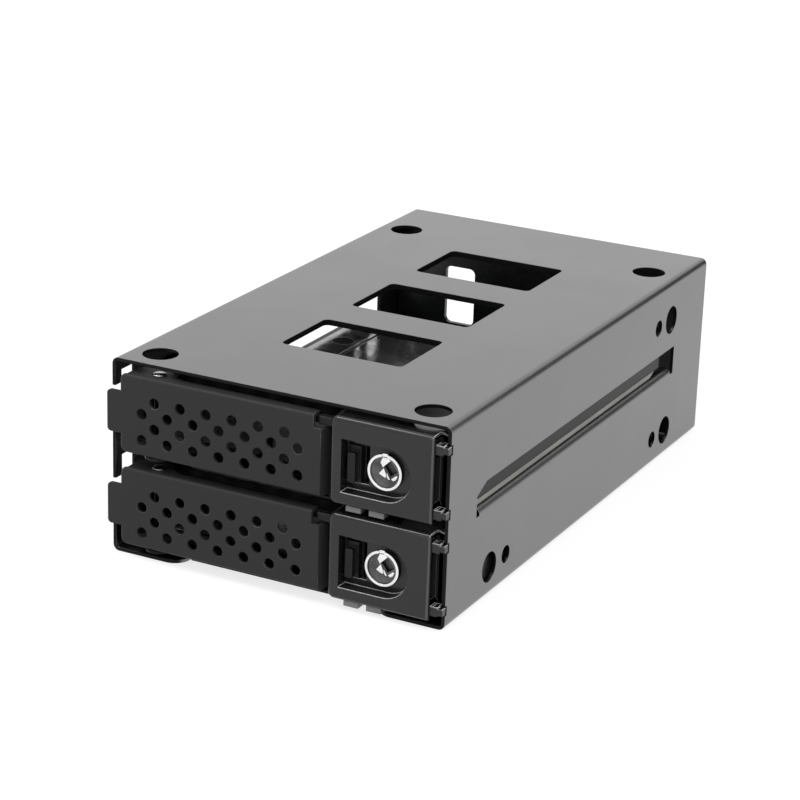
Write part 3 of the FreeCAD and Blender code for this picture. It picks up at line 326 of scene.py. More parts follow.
def coated_metal(name, colour, roughness, details, bare, grain=0.35 * MM, patches=1.08, specks=1.8, cut=None,
                 **sockets):
    """Satin coat: fine pebbled skin, faint handling marks, worn lines along the edges, and dull cut edges."""
    coat = Finish(name, colour, roughness, **sockets)
    coat.tint(coat.spread(coat.noise(26 * MM, 4.0), 0.35, 0.75), lighter(colour, patches))
    coat.tint(coat.spread(coat.noise(0.5 * MM, 2.0), 0.66, 0.78, 0.0, 0.35), lighter(colour, specks))
    worn = coat.times(coat.edges(details.worn_edge), coat.spread(coat.noise(3.5 * MM, 5.0), 0.5, 0.68))
    coat.tint(worn, bare)
    if cut is not None:
        ends = coat.cut_edges(details.rim, details.fold, CAD_BOX[1])
        coat.tint(ends, cut)
        coat.feed(coat.shader.inputs["Metallic"], coat.spread(ends, 0.0, 1.0, 1.0, 0.0))
    coat.sheen_patches(coat.noise(9 * MM, 5.0, distortion=0.6), roughness - 0.012, roughness + 0.012)
    coat.soften(details.edge_radius)
    coat.bump(coat.noise(grain, 2.0), 0.006 * MM, 0.6)
    return coat.material


def moulded_plastic(name, colour, roughness, details, grain=0.22 * MM, depth=0.004 * MM, painted_highlight=1.0,
                    **sockets):
    """Moulded plastic: fine grain, flow marks and edges worn lighter by handling. A highlight level above 1
    paints a highlight into the colour along the edges that look up, and a tone of a ninth of that level on
    the bends to the right: a painted highlight there on the latch modules, painted shade on the catches.
    """
    plastic = Finish(name, colour, roughness, **sockets)
    flow = plastic.noise(14 * MM, 3.0, (1.0, 1.0, 2.2), 1.2)
    plastic.tint(plastic.spread(flow, 0.4, 0.7), lighter(colour, 1.3))
    dust = plastic.noise(0.35 * MM, 1.0)
    plastic.tint(plastic.spread(dust, 0.72, 0.8, 0.0, 0.3), lighter(colour, 3.0))
    patches = plastic.spread(plastic.noise(5 * MM, 4.0), 0.35, 0.6)
    plastic.tint(plastic.times(plastic.edges(details.worn_edge), patches), lighter(colour, 2.0))
    # Painted light: colour in place of highlights, the full level along upward edges and a ninth of it on
    # right-hand bends.
    if painted_highlight > 1.0:
        plastic.tint(plastic.right_bends(), lighter(colour, painted_highlight / 9))
        plastic.tint(plastic.upper_edges(details.painted_highlight_width), lighter(colour, painted_highlight))
    plastic.sheen_patches(plastic.noise(7 * MM, 4.0), roughness - 0.06, roughness + 0.06)
    plastic.soften(details.edge_radius)
    plastic.bump(plastic.noise(grain, 2.0), depth, 0.5)
    return plastic.material


def plated_metal(name, colour, roughness, details, brushed=(1.0, 1.0, 1.0), scratch=0.002 * MM, dull=0.86,
                 metallic=1.0):
    """Plated or turned metal: fine tool marks, hair scratches, duller patches."""
    metal = Finish(name, colour, roughness, metallic)
    metal.tint(metal.spread(metal.noise(4 * MM, 4.0), 0.4, 0.75), lighter(colour, dull))
    metal.sheen_patches(metal.noise(1.6 * MM, 5.0, brushed), max(0.03, roughness - 0.05), roughness + 0.08)
    metal.soften(details.worn_edge / 2)
    metal.bump(metal.noise(0.12 * MM, 3.0, brushed), scratch, 0.5)
    return metal.material


def zinc_plate(colour, details):
    """Zinc with its spangle of large crystals."""
    zinc = Finish("zinc plate", colour, 0.36, 1.0)
    zinc.tint(zinc.spread(zinc.cells(2.6 * MM), 0.1, 0.7), lighter(colour, 0.75))
    zinc.sheen_patches(zinc.noise(2.2 * MM, 4.0), 0.28, 0.46)
    zinc.soften(details.worn_edge)
    zinc.bump(zinc.noise(0.3 * MM, 3.0), 0.004 * MM, 0.5)
    return zinc.material


def solder_mask(colour):
    """Lacquer of the backplane, with the weave of the glass cloth under it."""
    board = Finish("solder mask", colour, 0.3)
    weave = board.noise(0.5 * MM, 1.0, (1.0, 1.0, 3.0))
    board.tint(board.spread(weave, 0.45, 0.7, 0.0, 0.6), lighter(colour, 1.5))
    board.tint(board.spread(board.noise(18 * MM, 4.0), 0.4, 0.7, 0.0, 0.7), lighter(colour, 0.7))
    board.sheen_patches(board.noise(6 * MM, 3.0), 0.24, 0.36)
    board.bump(weave, 0.01 * MM, 0.4)
    return board.material


def lacquered_copper(colour):
    """Copper lines that show lighter through the lacquer."""
    trace = Finish("copper under lacquer", lighter(colour, 2.2), 0.3)
    trace.tint(trace.spread(trace.noise(2.5 * MM, 3.0), 0.4, 0.7), lighter(colour, 1.6))
    trace.sheen_patches(trace.noise(4 * MM, 3.0), 0.24, 0.38)
    trace.bump(trace.noise(0.4 * MM, 2.0), 0.004 * MM, 0.5)
    return trace.material


def coats(colours, details):
    """Coated steel, by name."""
    bare = colours.bare_edge
    # Painted shade: near-black steel for the pins' rods, which sit in the shade inside the levers.
    black = lighter(colours.steel, 0.004)
    return {
        "cage_coat": coated_metal("cage coat", colours.coat, 0.32, details, lighter(bare, 1.6), patches=1.02,
                                  specks=1.2, cut=colours.cut_edge, metallic=1.0, IOR=1.22),
        # Trays: own black coat, made darker and duller as painted shade for their place inside the cage.
        "tray_coat": coated_metal("tray coat", colours.tray_coat, 0.3, details, bare, IOR=1.2),
        "lever_coat": coated_metal("lever coat", colours.lever_coat, 0.5, details, bare, 0.3 * MM, IOR=1.3),
        "shade_black": coated_metal("blackened steel", black, 0.6, details, bare, IOR=1.1),
    }


def plastics(colours, details):
    """Mouldings, by name."""
    moulding = colours.moulding
    return {
        # The latch modules carry a strong painted highlight on upper edges and right-hand bends; the catches
        # a weak painted highlight on upper edges and painted shade on right-hand bends.
        "bezel": moulded_plastic("latch module moulding", moulding, 0.18, details, painted_highlight=70.0, IOR=1.45),
        "latch": moulded_plastic("catch moulding", moulding, 0.3, details, painted_highlight=6.0, IOR=1.28),
        "socket": moulded_plastic("socket moulding", lighter(moulding, 1.3), 0.45, details),
        "runner": moulded_plastic("runner acetal", lighter(colours.nylon, 0.28), 0.3, details),
        "nylon": moulded_plastic("power port nylon", colours.nylon, 0.42, details, 0.4 * MM, 0.006 * MM,
                                 Subsurface_Weight=0.15, Subsurface_Radius=mm(1.0, 1.0, 0.8)),
        "light_guide": moulded_plastic("light guide", colours.frosted, 0.36, details, 0.1 * MM, 0.006 * MM),
        "lamp": moulded_plastic("lamp lens", colours.lens, 0.18, details, 0.5 * MM, 0.001 * MM,
                                Transmission_Weight=0.35),
        "epoxy": moulded_plastic("chip epoxy", colours.epoxy, 0.5, details, 0.12 * MM, 0.006 * MM),
        "ceramic": moulded_plastic("ceramic body", colours.ceramic, 0.45, details, 0.1 * MM, 0.004 * MM),
    }


def metals(colours, details):
    """Bare and plated metals, by name."""
    steel = colours.steel
    return {
        "chrome": plated_metal("lock plate", colours.bright_plate, 0.1, details, scratch=0.0015 * MM),
        "lock_plug": plated_metal("lock shade", colours.dark_plate, 0.24, details, dull=0.3),
        "keyway": plated_metal("keyway shadow", colours.keyway, 0.4, details),
        "film": plated_metal("shielding film", colours.film, 0.12, details, scratch=0.001 * MM, metallic=0.7),
        "pin_steel": plated_metal("pin steel", steel, 0.22, details, (1.0, 1.0, 9.0)),
        "steel": plated_metal("screw steel", steel, 0.3, details, (1.0, 7.0, 1.0)),
        "spring_steel": plated_metal("spring wire", lighter(steel, 0.9), 0.25, details),
        "gold": plated_metal("contact gold", colours.gold, 0.2, details),
        "tin": plated_metal("solder tin", lighter(colours.zinc, 1.2), 0.26, details, scratch=0.006 * MM),
        "zinc": zinc_plate(colours.zinc, details),
    }


def finish(name):
    """Finish by name; the whole set is made at first use."""
    if not FINISHES:
        colours = bpy.context.scene.cage_finishes
        details = bpy.context.scene.cage_details
        for group in (coats, plastics, metals):
            FINISHES.update(group(colours, details))
        FINISHES["board"] = solder_mask(colours.solder_mask)
        FINISHES["trace"] = lacquered_copper(colours.solder_mask)
    return FINISHES[name]


def paint(name, *nodes):
    """Gives modelled solids their finish."""
    for node in nodes:
        mesh = NODES[node].data
        mesh.materials.clear()
        mesh.materials.append(finish(name))


def both(*stems):
    """Names of the pieces that both bays have."""
    return [f"{stem}_{bay}" for stem in stems for bay in BAYS]


def sharpen(mesh):
    """Smooth shading, with edges kept where the faces turn sharply."""
    mesh.polygons.foreach_set("use_smooth", [True] * len(mesh.polygons))
    mesh.set_sharp_from_angle(angle=SHARP_ANGLE)
    return mesh


@contextmanager
def reworked(mesh):
    """Opens a mesh for changes to its edges and faces, and writes them back."""
    work = bmesh.new()
    work.from_mesh(mesh)
    yield work
    work.to_mesh(mesh)
    work.free()


def mesh_of(name, points, faces):
    """Mesh from points and faces, with its faces turned outwards."""
    mesh = bpy.data.meshes.new(name)
    mesh.from_pydata([tuple(point) for point in points], [], faces)
    with reworked(mesh) as work:
        bmesh.ops.remove_doubles(work, verts=work.verts, dist=SAME_PLACE)
        bmesh.ops.recalc_face_normals(work, faces=work.faces)
    return mesh


def bands(rows, steps):
    """Faces between rings of points, each ring joined to the next."""
    faces = []
    for row in range(rows):
        for step in range(steps):
            here, after = row * steps + step, row * steps + (step + 1) % steps
            faces.append((here, after, after + steps, here + steps))
    return faces


def ends_of(rows, steps):
    """Faces that close the first and the last ring of points."""
    return [tuple(range(steps)), tuple(range(rows * steps, (rows + 1) * steps))]


def lathe(name, profile, steps):
    """Turned piece about Z from (radius, height) pairs; a closed profile makes a ring."""
    points = []
    for radius, height in profile:
        for step in range(steps):
            angle = math.tau * step / steps
            points.append((radius * math.cos(angle), radius * math.sin(angle), height))
    return mesh_of(name, points, bands(len(profile) - 1, steps))


def rod(name, radius, low, high, steps):
    """Plain rod about Z, for cutting round holes."""
    return lathe(name, [(0.0, low), (radius, low), (radius, high), (0.0, high)], steps)


def threaded(name, radius, depth, rise, low, high, steps):
    """Threaded rod about Z between two heights, closed at both ends."""
    rows = max(2, int((high - low) / rise * 6))
    points = []
    for row in range(rows + 1):
        height = low + (high - low) * row / rows
        fade = min(1.0, (high - height) / rise, (height - low) / rise)
        for step in range(steps):
            angle = math.tau * step / steps
            phase = (height / rise - step / steps) % 1.0
            cut = depth * (1.0 - abs(2.0 * phase - 1.0)) * max(0.0, fade)
            points.append(((radius - cut) * math.cos(angle), (radius - cut) * math.sin(angle), height))
    return mesh_of(name, points, bands(rows, steps) + ends_of(rows, steps))


def coil(name, radius, wire, length, turns, around=20, across=8):
    """Round wire wound along Z."""
    rings = turns * around
    up = Vector((0.0, 0.0, 1.0))
    points = []
    for ring in range(rings + 1):
        angle = math.tau * ring / around
        outward = Vector((math.cos(angle), math.sin(angle), 0.0))
        for side in range(across):
            turn = math.tau * side / across
            skin = outward * math.cos(turn) + up * math.sin(turn)
            points.append(outward * radius + up * (length * ring / rings) + skin * (wire / 2))
    return mesh_of(name, points, bands(rings, across) + ends_of(rings, across))


def plate(name, outline, low, high, ease=0.0):
    """Flat piece from an outline of (x, y) points, between two heights, with its edges eased."""
    count = len(outline)
    points = [(x, y, height) for height in (low, high) for x, y in outline]
    mesh = mesh_of(name, points, ends_of(1, count) + bands(1, count))
    return eased(mesh, ease) if ease else mesh


def eased(mesh, width):
    """Rounds the sharp edges of a mesh."""
    with reworked(mesh) as work:
        sharp = [edge for edge in work.edges if edge.is_manifold and edge.calc_face_angle() > EASED_ANGLE]
        bmesh.ops.bevel(work, geom=sharp, offset=width, segments=2, profile=0.5, affect="EDGES",
                        clamp_overlap=True)
    return mesh


def rectangle(x0, x1, y0, y1):
    return [(x0, y0), (x1, y0), (x1, y1), (x0, y1)]


def arc(x, y, radius, start, steps=6):
    """Points on a quarter of a circle, anticlockwise from an angle in degrees."""
    angles = [math.radians(start + 90 * step / steps) for step in range(steps + 1)]
    return [(x + radius * math.cos(angle), y + radius * math.sin(angle)) for angle in angles]


def rounded_rectangle(x0, x1, y0, y1, radius):
    """Rectangle with round corners."""
    left, right, low, high = x0 + radius, x1 - radius, y0 + radius, y1 - radius
    corners = ((right, low, -90), (right, high, 0), (left, high, 90), (left, low, 180))
    return [point for x, y, start in corners for point in arc(x, y, radius, start)]


def turned(mesh, matrix):
    """The mesh moved by a matrix."""
    mesh.transform(matrix)
    if matrix.determinant() < 0:
        mesh.flip_normals()
    return mesh


def gathered(name, *meshes):
    """Several meshes as one."""
    whole = bpy.data.meshes.new(name)
    with reworked(whole) as work:
        for mesh in meshes:
            work.from_mesh(mesh)
    return whole


def repeated(name, mesh, matrices):
    """Copies of one mesh, placed by matrices, as one mesh."""
    return gathered(name, *(turned(mesh.copy(), matrix) for matrix in matrices))


def welded(mesh):
    """Copy of a mesh with its faces joined along their edges."""
    copy = mesh.copy()
    if "custom_normal" in copy.attributes:
        copy.attributes.remove(copy.attributes["custom_normal"])
    with reworked(copy) as work:
        bmesh.ops.remove_doubles(work, verts=work.verts, dist=SAME_CORNER)
    return copy


def carved(mesh, *cutters):
    """The mesh with other meshes cut out of it."""
    scene = bpy.context.scene
    body = bpy.data.objects.new("carved", mesh)
    scene.collection.objects.link(body)
    tools = []
    for cutter in cutters:
        tool = bpy.data.objects.new("cutter", cutter)
        scene.collection.objects.link(tool)
        tools.append(tool)
        cut = body.modifiers.new("cut", "BOOLEAN")
        cut.operation = "DIFFERENCE"
        cut.solver = "EXACT"
        cut.object = tool
    graph = bpy.context.evaluated_depsgraph_get()
    graph.update()
    result = bpy.data.meshes.new_from_object(body.evaluated_get(graph))
    for used in [body, *tools]:
        bpy.data.objects.remove(used)
    return result


def piece(name, mesh, finish_name, body, slot, *nodes):
    """Puts a mesh into the scene as a named piece that moves with a body and may replace solids."""
    mesh.materials.clear()
    mesh.materials.append(finish(finish_name))
    made = bpy.data.objects.new(name, sharpen(mesh))
    bpy.context.scene.collection.objects.link(made)
    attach(made, body)
    if nodes:
        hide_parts(*nodes)
    return made


def moved(*place):
    return Matrix.Translation(place)


def spun(angle, axis):
    return Matrix.Rotation(angle, 4, axis)


def facing(direction, place):
    """Matrix that takes a piece made about Z to a place, with its Z along -Y (front) or +Y (back)."""
    turn = {"front": QUARTER, "back": -QUARTER}[direction]
    return Matrix.Translation(place) @ spun(turn, "X")


def cross_screw(head, head_height, shank, length, rise, steps):
    """Pan-head screw about Z with its seat at 0 and its head above: domed head, cross recess and thread."""
    shares = ((0.0, 1.0), (0.45, 0.98), (0.75, 0.86), (0.93, 0.6), (1.0, 0.28), (1.0, 0.0), (0.0, 0.0))
    dome = [(head * out, head_height * up) for out, up in shares]
    arm = head * 0.62
    half = head * 0.13
    taper = 0.55
    bars = []
    for turn in (0.0, QUARTER):
        bar = plate("recess", rectangle(-arm, arm, -half, half), head_height * 0.35, head_height * 1.5)
        for point in bar.vertices:
            if point.co.z < head_height:
                point.co.x *= taper
        bars.append(turned(bar, spun(turn, "Z")))
    top = carved(lathe("head", dome, steps), *bars)
    rod_below = threaded("shank", shank, shank * 0.18, rise, -length, 0.0, steps // 2)
    return gathered("screw", top, rod_below)


class CAGE_OT_shell(bpy.types.Operator):
    """Finish the folded cage and the brackets inside its rear end"""

    bl_idname = "drive_cage.shell"
    bl_label = "Cage and brackets"

    def execute(self, context):
        paint("cage_coat", "cage_shell")
        paint("zinc", "board_bracket_left", "board_bracket_right")
        return {"FINISHED"}


def tray_film(details, bay):
    """Thin shielding film on the left of the tray's floor, with a bead along it and four round openings."""
    low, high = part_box(f"tray_{bay}")
    margin, past_middle, corner, tray_sheet = mm(2.2, 2.0, 4.0, 0.8)
    left, right = low.x + margin, (low.x + high.x) / 2 + past_middle
    front, back = high.y - details.film_length, high.y - margin
    floor = low.z + tray_sheet
    outline = rounded_rectangle(left, right, front, back, corner)
    sheet = plate("sheet", outline, floor, floor + details.film_thickness)
    radius, inset, from_front, from_back = mm(3.6, 6.5, 30.0, 32.0)
    places = [(x, y) for x in (left + inset, right - inset) for y in (front + from_front, back - from_back)]
    holes = [turned(rod("hole", radius, floor - MM, floor + MM, 40), moved(x, y, 0.0)) for x, y in places]
    bead, top = left + 12.5 * MM, floor + 0.2 * MM
    foot, crown, rise = mm(0.9, 0.4, 0.35)
    profile = [(bead - foot, top), (bead + foot, top), (bead + crown, top + rise), (bead - crown, top + rise)]
    ridge = turned(plate("ridge", profile, margin - back, -margin - front), spun(QUARTER, "X"))
    whole = gathered("film", carved(sheet, *holes), ridge)
    piece(f"tray_film_{bay}", whole, "film", f"tray_{bay}", "tray_coat")


class CAGE_OT_carriers(bpy.types.Operator):
    """Finish the trays, runners, light guides and perforated levers, and lay film in the trays"""

    bl_idname = "drive_cage.carriers"
    bl_label = "Carriers and levers"

    def execute(self, context):
        paint("tray_coat", *both("tray"))
        paint("runner", *both("tray_runners"))
        paint("light_guide", *both("light_guides"))
        paint("lever_coat", *both("lever"))
        for bay in BAYS:
            tray_film(context.scene.cage_details, bay)
        return {"FINISHED"}


def latch_spring(details, bay):
    """Round-wire spring behind the catch."""
    low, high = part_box(f"latch_spring_{bay}")
    wire = details.spring_wire
    middle = (low + high) / 2
    radius = (high.z - low.z - wire) / 2
    length = high.x - low.x
    wound = coil("spring", radius, wire, length - wire, details.spring_turns)
    lie = moved(low.x + wire / 2, middle.y, middle.z) @ spun(QUARTER, "Y")
    made = piece(f"return_spring_{bay}", turned(wound, lie), "spring_steel", f"tray_{bay}",
                 "spring_steel", f"latch_spring_{bay}")
    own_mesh(made)


def latch_module(details, bay):
    """Latch module with the step down its right side, which its two hooked ears bridge."""
    low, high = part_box(f"bezel_{bay}")
    front, right = low.y, high.x - details.ear_reach
    back, left = front + details.step_depth, right - details.side_step
    clear, bend, strap, inset = mm(0.1, 1.0, 1.4, 0.6)
    behind = front + strap
    outline = [(left - bend, front - clear), (right + clear, front - clear), (right + clear, behind)]
    outline.append((left, behind))
    outline += reversed(arc(left - bend, front + bend, bend, -90))
    face_cut = plate("face cut", outline, low.z - clear, high.z + clear)
    ear_edges = [low.z + height for height in mm(1.5, 4.3, 20.2, 23.0)]
    levels = [low.z - clear, *ear_edges, high.z + clear]
    beside = rectangle(left, right + clear, behind - clear, back)
    cuts = [plate("side cut", beside, *gap) for gap in zip(levels[::2], levels[1::2])]
    shell = carved(welded(NODES[f"bezel_{bay}"].data), face_cut, *cuts)
    wall_front, wall_back, floor_gap, floor_depth = mm(1.2, 0.4, 0.2, 0.8)
    wall = rectangle(left - MM, left, front + wall_front, back + wall_back)
    floor = rectangle(left - MM, right - floor_gap, back, back + floor_depth)
    inside = [plate("step", shape, low.z + inset, high.z - inset) for shape in (wall, floor)]
    piece(f"latch_module_{bay}", gathered("module", shell, *inside), "bezel", f"tray_{bay}", "bezel",
          f"bezel_{bay}")


class CAGE_OT_latches(bpy.types.Operator):
    """Finish the latch modules, their catches and the springs inside"""

    bl_idname = "drive_cage.latches"
    bl_label = "Latch modules"

    def execute(self, context):
        details = context.scene.cage_details
        for bay in BAYS:
            latch_module(details, bay)
            latch_spring(details, bay)
        paint("latch", *both("latch"))
        return {"FINISHED"}


class LockSizes:
    """Sizes of one lock, from its solids; heights run forwards from the front of its ring."""

    def __init__(self, details, bay):
        low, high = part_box(f"lock_housing_{bay}")
        core_low, core_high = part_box(f"lock_plug_{bay}")
        self.to_front = facing("front", Vector(((low.x + high.x) / 2, low.y, (low.z + high.z) / 2)))
        self.depth = high.y - low.y
        self.ring = (high.x - low.x) / 2
        self.cup = self.ring - details.ring_rim
        self.plug = (core_high.x - core_low.x) / 2
        self.bore = self.plug + 0.12 * MM
        self.face = low.y - core_low.y
        self.back = low.y - core_high.y


def lock_ring(details, sizes, bay):
    """Plated ring with a flat well and a notch at its top, on a threaded barrel."""
    steps = details.turned_steps
    bore, cup, ring, lip = sizes.bore, sizes.cup, sizes.ring, details.ring_lip
    barrel = sizes.plug + MM
    groove, seat = mm(0.3, -2.6)
    well, wall = sizes.face - 0.45 * MM, cup - 0.05 * MM
    profile = [(bore, well), (wall, well), (wall, -0.2 * MM), (cup, -0.05 * MM), (cup + 0.12 * MM, 0.0),
               (ring - lip, 0.0), (ring - lip * 0.3, -lip * 0.3), (ring, -lip), (ring, seat),
               (barrel - groove, seat), (bore, seat), (bore, well)]
    notch = plate("notch", rectangle(-0.95 * MM, 0.75 * MM, sizes.plug, ring + MM), -0.5 * MM, MM)
    collar = carved(lathe("collar", profile, steps * 2), notch)
    thread = threaded("barrel", barrel, groove, details.barrel_thread, -sizes.depth, seat, steps)
    hollow = rod("hollow", bore, -sizes.depth - MM, seat + MM, steps)
    whole = gathered("ring", collar, carved(thread, hollow))
    piece(f"lock_ring_{bay}", turned(whole, sizes.to_front), "chrome", f"tray_{bay}", "chrome",
          f"lock_housing_{bay}")


def lock_core(details, sizes, bay):
    """Dished face with a sloping keyway, and a dark metal plate that fills the keyway as painted shade."""
    face, plug, back = sizes.face, sizes.plug, sizes.back
    wide = sizes.cup - 0.15 * MM
    hollow = ((0.0, 0.0), (0.25, 0.04), (0.5, 0.14), (0.75, 0.32), (0.92, 0.52), (1.0, 0.5), (1.0, -0.3))
    dish = [(wide * share, face + rise * MM) for share, rise in hollow]
    dish += [(plug, face - 0.35 * MM), (plug, back), (0.0, back)]
    slope = spun(math.radians(38.0), "Z")
    keyway = plate("keyway", rectangle(*mm(0.5, 3.2, -1.75, 1.75)), face - 4 * MM, face + MM)
    disc = carved(lathe("disc", dish, details.turned_steps), turned(keyway, slope))
    piece(f"lock_core_{bay}", turned(disc, sizes.to_front), "lock_plug", f"lock_{bay}", "lock_plug",
          f"lock_plug_{bay}")
    # Painted shade: a dark metal plate fills the keyway 0.7 mm below the face, in place of its shaded depth.
    inside = rectangle(*mm(0.55, 3.15, -1.7, 1.7))
    floor = plate("floor", inside, face - 3.9 * MM, face - 0.7 * MM, 0.1 * MM)
    piece(f"lock_keyway_shade_{bay}", turned(floor, sizes.to_front @ slope), "keyway", f"lock_{bay}", "lock_plug")


def lock_facets(sizes, bay):
    """Bright facets that stand on the dished face."""
    strip = mm_points((-1.6, 2.55), (-0.85, 4.2), (0.75, 4.2), (1.55, 3.6), (-0.35, 1.75), (-0.8, 1.2))
    wedge = mm_points((-0.55, 1.1), (-1.95, -0.75), (-0.75, -1.35), (0.1, -1.7), (0.3, -0.75))
    sliver = mm_points((0.45, -0.1), (0.4, -1.2), (0.95, -2.0), (1.5, -1.95), (0.8, -0.75))
    band = mm_points((1.75, -1.75), (3.25, -0.45), (3.75, -0.6), (3.3, -1.6), (2.5, -2.2))
    low, high = sizes.face - 0.2 * MM, sizes.face + 0.55 * MM
    fields = [plate("facet", outline, low, high, 0.05 * MM) for outline in (strip, wedge, sliver, band)]
    piece(f"lock_facets_{bay}", turned(gathered("facets", *fields), sizes.to_front), "chrome",
          f"lock_{bay}", "chrome")


class CAGE_OT_locks(bpy.types.Operator):
    """Make the ringed locks: plated ring with threaded barrel, shaded plug with keyway and bright facets"""

    bl_idname = "drive_cage.locks"
    bl_label = "Locks"

    def execute(self, context):
        details = context.scene.cage_details
        for bay in BAYS:
            sizes = LockSizes(details, bay)
            lock_ring(details, sizes, bay)
            lock_core(details, sizes, bay)
            lock_facets(sizes, bay)
        paint("zinc", *both("lock_nut", "lock_cam"))
        return {"FINISHED"}


def screw(details, head, thick, shank, length):
    return cross_screw(head, thick, shank, length, details.screw_thread, details.turned_steps // 2)


def lever_pin(details, bay):
    """Rod of a lever's pin, near black as painted shade where it sits inside the lever, and its bright domed
    head.
    """
    low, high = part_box(f"lever_pin_{bay}")
    middle = (low + high) / 2
    stand = moved(middle.x, middle.y, low.z)
    head, shank = (high.x - low.x) / 2, details.pin_width / 2
    head_height, chamfer = mm(0.6, 0.3)
    seat = high.z - low.z - head_height
    below = [(0.0, 0.0), (shank - chamfer, 0.0), (shank, chamfer), (shank, seat), (0.0, seat)]
    stem = lathe("rod", below, details.turned_steps)
    piece(f"lever_rivet_{bay}", turned(stem, stand), "shade_black", f"tray_{bay}", "pin_steel",
          f"lever_pin_{bay}")
    shares = ((0.0, 0.0), (1.0, 0.0), (1.0, 0.2), (0.9, 0.38), (0.62, 0.54), (0.3, 0.59), (0.0, 0.6))
    dome = lathe("dome", [(head * out, seat + up * MM) for out, up in shares], details.turned_steps)
    piece(f"rivet_head_{bay}", turned(dome, stand), "pin_steel", f"tray_{bay}", "pin_steel")


def module_screws(details, bay):
    """Two screws, one above the other, that hold a latch module."""
    low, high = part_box(f"bezel_screws_{bay}")
    head = (high.x - low.x) / 2
    thick, shank, length = mm(1.4, 1.2, 6.85)
    middle = (low.x + high.x) / 2
    places = [Vector((middle, high.y - thick, z)) for z in (low.z + head, high.z - head)]
    mesh = repeated("screws", screw(details, head, thick, shank, length),
                    [facing("back", place) for place in places])
    piece(f"module_screws_{bay}", mesh, "steel", f"tray_{bay}", "steel", f"bezel_screws_{bay}")


def cam_screw(details, bay):
    """Screw that holds a lock's cam."""
    low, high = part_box(f"lock_screw_{bay}")
    thick, shank = mm(1.2, 1.3)
    mesh = screw(details, (high.x - low.x) / 2, thick, shank, high.y - low.y - thick)
    place = Vector(((low.x + high.x) / 2, high.y - thick, (low.z + high.z) / 2))
    piece(f"cam_screw_{bay}", turned(mesh, facing("back", place)), "steel", f"lock_{bay}", "steel",
          f"lock_screw_{bay}")


def board_screws(details):
    """Four screws in the corners of the backplane."""
    low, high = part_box("board_screws")
    head, thick, shank, length = mm(2.6, 1.6, 1.4, 4.0)
    places = [Vector((x, low.y + thick, z)) for x in (low.x + head, high.x - head)
              for z in (low.z + head, high.z - head)]
    mesh = repeated("screws", screw(details, head, thick, shank, length),
                    [facing("front", place) for place in places])
    piece("backplane_screws", mesh, "steel", "cage", "steel", "board_screws")


class CAGE_OT_fasteners(bpy.types.Operator):
    """Make the levers' domed pins and all the cross-recess screws"""

    bl_idname = "drive_cage.fasteners"
    bl_label = "Pins and screws"

    def execute(self, context):
        details = context.scene.cage_details
        for bay in BAYS:
            lever_pin(details, bay)
            module_screws(details, bay)
            cam_screw(details, bay)
        board_screws(details)
        return {"FINISHED"}


def on_rear(name, mesh, finish_name):
    """Puts a mesh made flat, with x across and y up, on the rear face of the board."""
    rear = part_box("backplane_board")[1].y
    to_rear = facing("back", Vector((0.0, rear, 0.0))) @ Matrix.Scale(-1, 4, (0, 1, 0))
    piece(name, turned(mesh, to_rear), finish_name, "cage", "board")


def copper_lines(details):
    """Copper lines with 45 degree bends above the data ports, and plated holes where they end."""
    dice = random.Random(7)
    half = details.trace_width / 2
    overlap, thick = half * 0.4, 0.035 * MM
    strips = []
    eyes = []
    for count in range(22):
        start = Vector((-18.5 + 1.25 * count, 13.2 + (count % 2) * 0.4)) * MM
        up = (6.0 + 9.0 * dice.random()) * MM
        lean = dice.choice((-1, 1)) * (2.0 + 5.0 * dice.random()) * MM
        rise = (2.0 + 5.0 * dice.random()) * MM
        bends = ((0.0, 0.0), (0.0, up), (lean, up + abs(lean)), (lean, up + abs(lean) + rise))
        route = [start + Vector(bend) for bend in bends]
        for a, b in zip(route, route[1:]):
            along = (b - a).normalized()
            side = Vector((-along.y, along.x)) * half
            a, b = a - along * overlap, b + along * overlap
            strips.append(plate("line", [a - side, b - side, b + side, a + side], 0.0, thick))
        eyes += [moved(at.x, at.y, 0.0) for at in (route[0], route[-1])]
    on_rear("backplane_lines", gathered("lines", *strips), "trace")
    ring = mm_points((0.18, 0.0), (0.2, 0.06), (0.42, 0.06), (0.45, 0.0), (0.18, 0.0))
    on_rear("backplane_eyes", repeated("eyes", lathe("eye", ring, 16), eyes), "gold")


def chip(wide, tall):
    """Body of a chip, with the round mark in its corner; sizes in millimetres."""
    body = plate("chip", rectangle(*mm(-wide / 2, wide / 2, -tall / 2, tall / 2)), *mm(0.15, 1.5, 0.18))
    inset = 1.2
    dot = rod("dot", *mm(0.4, 1.3, 2.0), 20)
    return carved(body, turned(dot, moved(*mm(inset - wide / 2, tall / 2 - inset, 0.0))))


def leg(across, root, side):
    """Bent leg of a chip, on its upper or lower side; sizes in millimetres."""
    bends = ((0.0, 0.75), (0.45, 0.75), (0.6, 0.6), (0.75, 0.2), (1.35, 0.16), (1.35, 0.02), (0.6, 0.04),
             (0.42, 0.55), (0.0, 0.55))
    shape = mm_points(*((root + side * out, up) for out, up in bends))
    stand = Matrix(((0, 0, 1, across * MM), (1, 0, 0, 0), (0, 1, 0, 0), (0, 0, 0, 1)))
    return turned(plate("leg", shape, *mm(-0.16, 0.16)), stand)


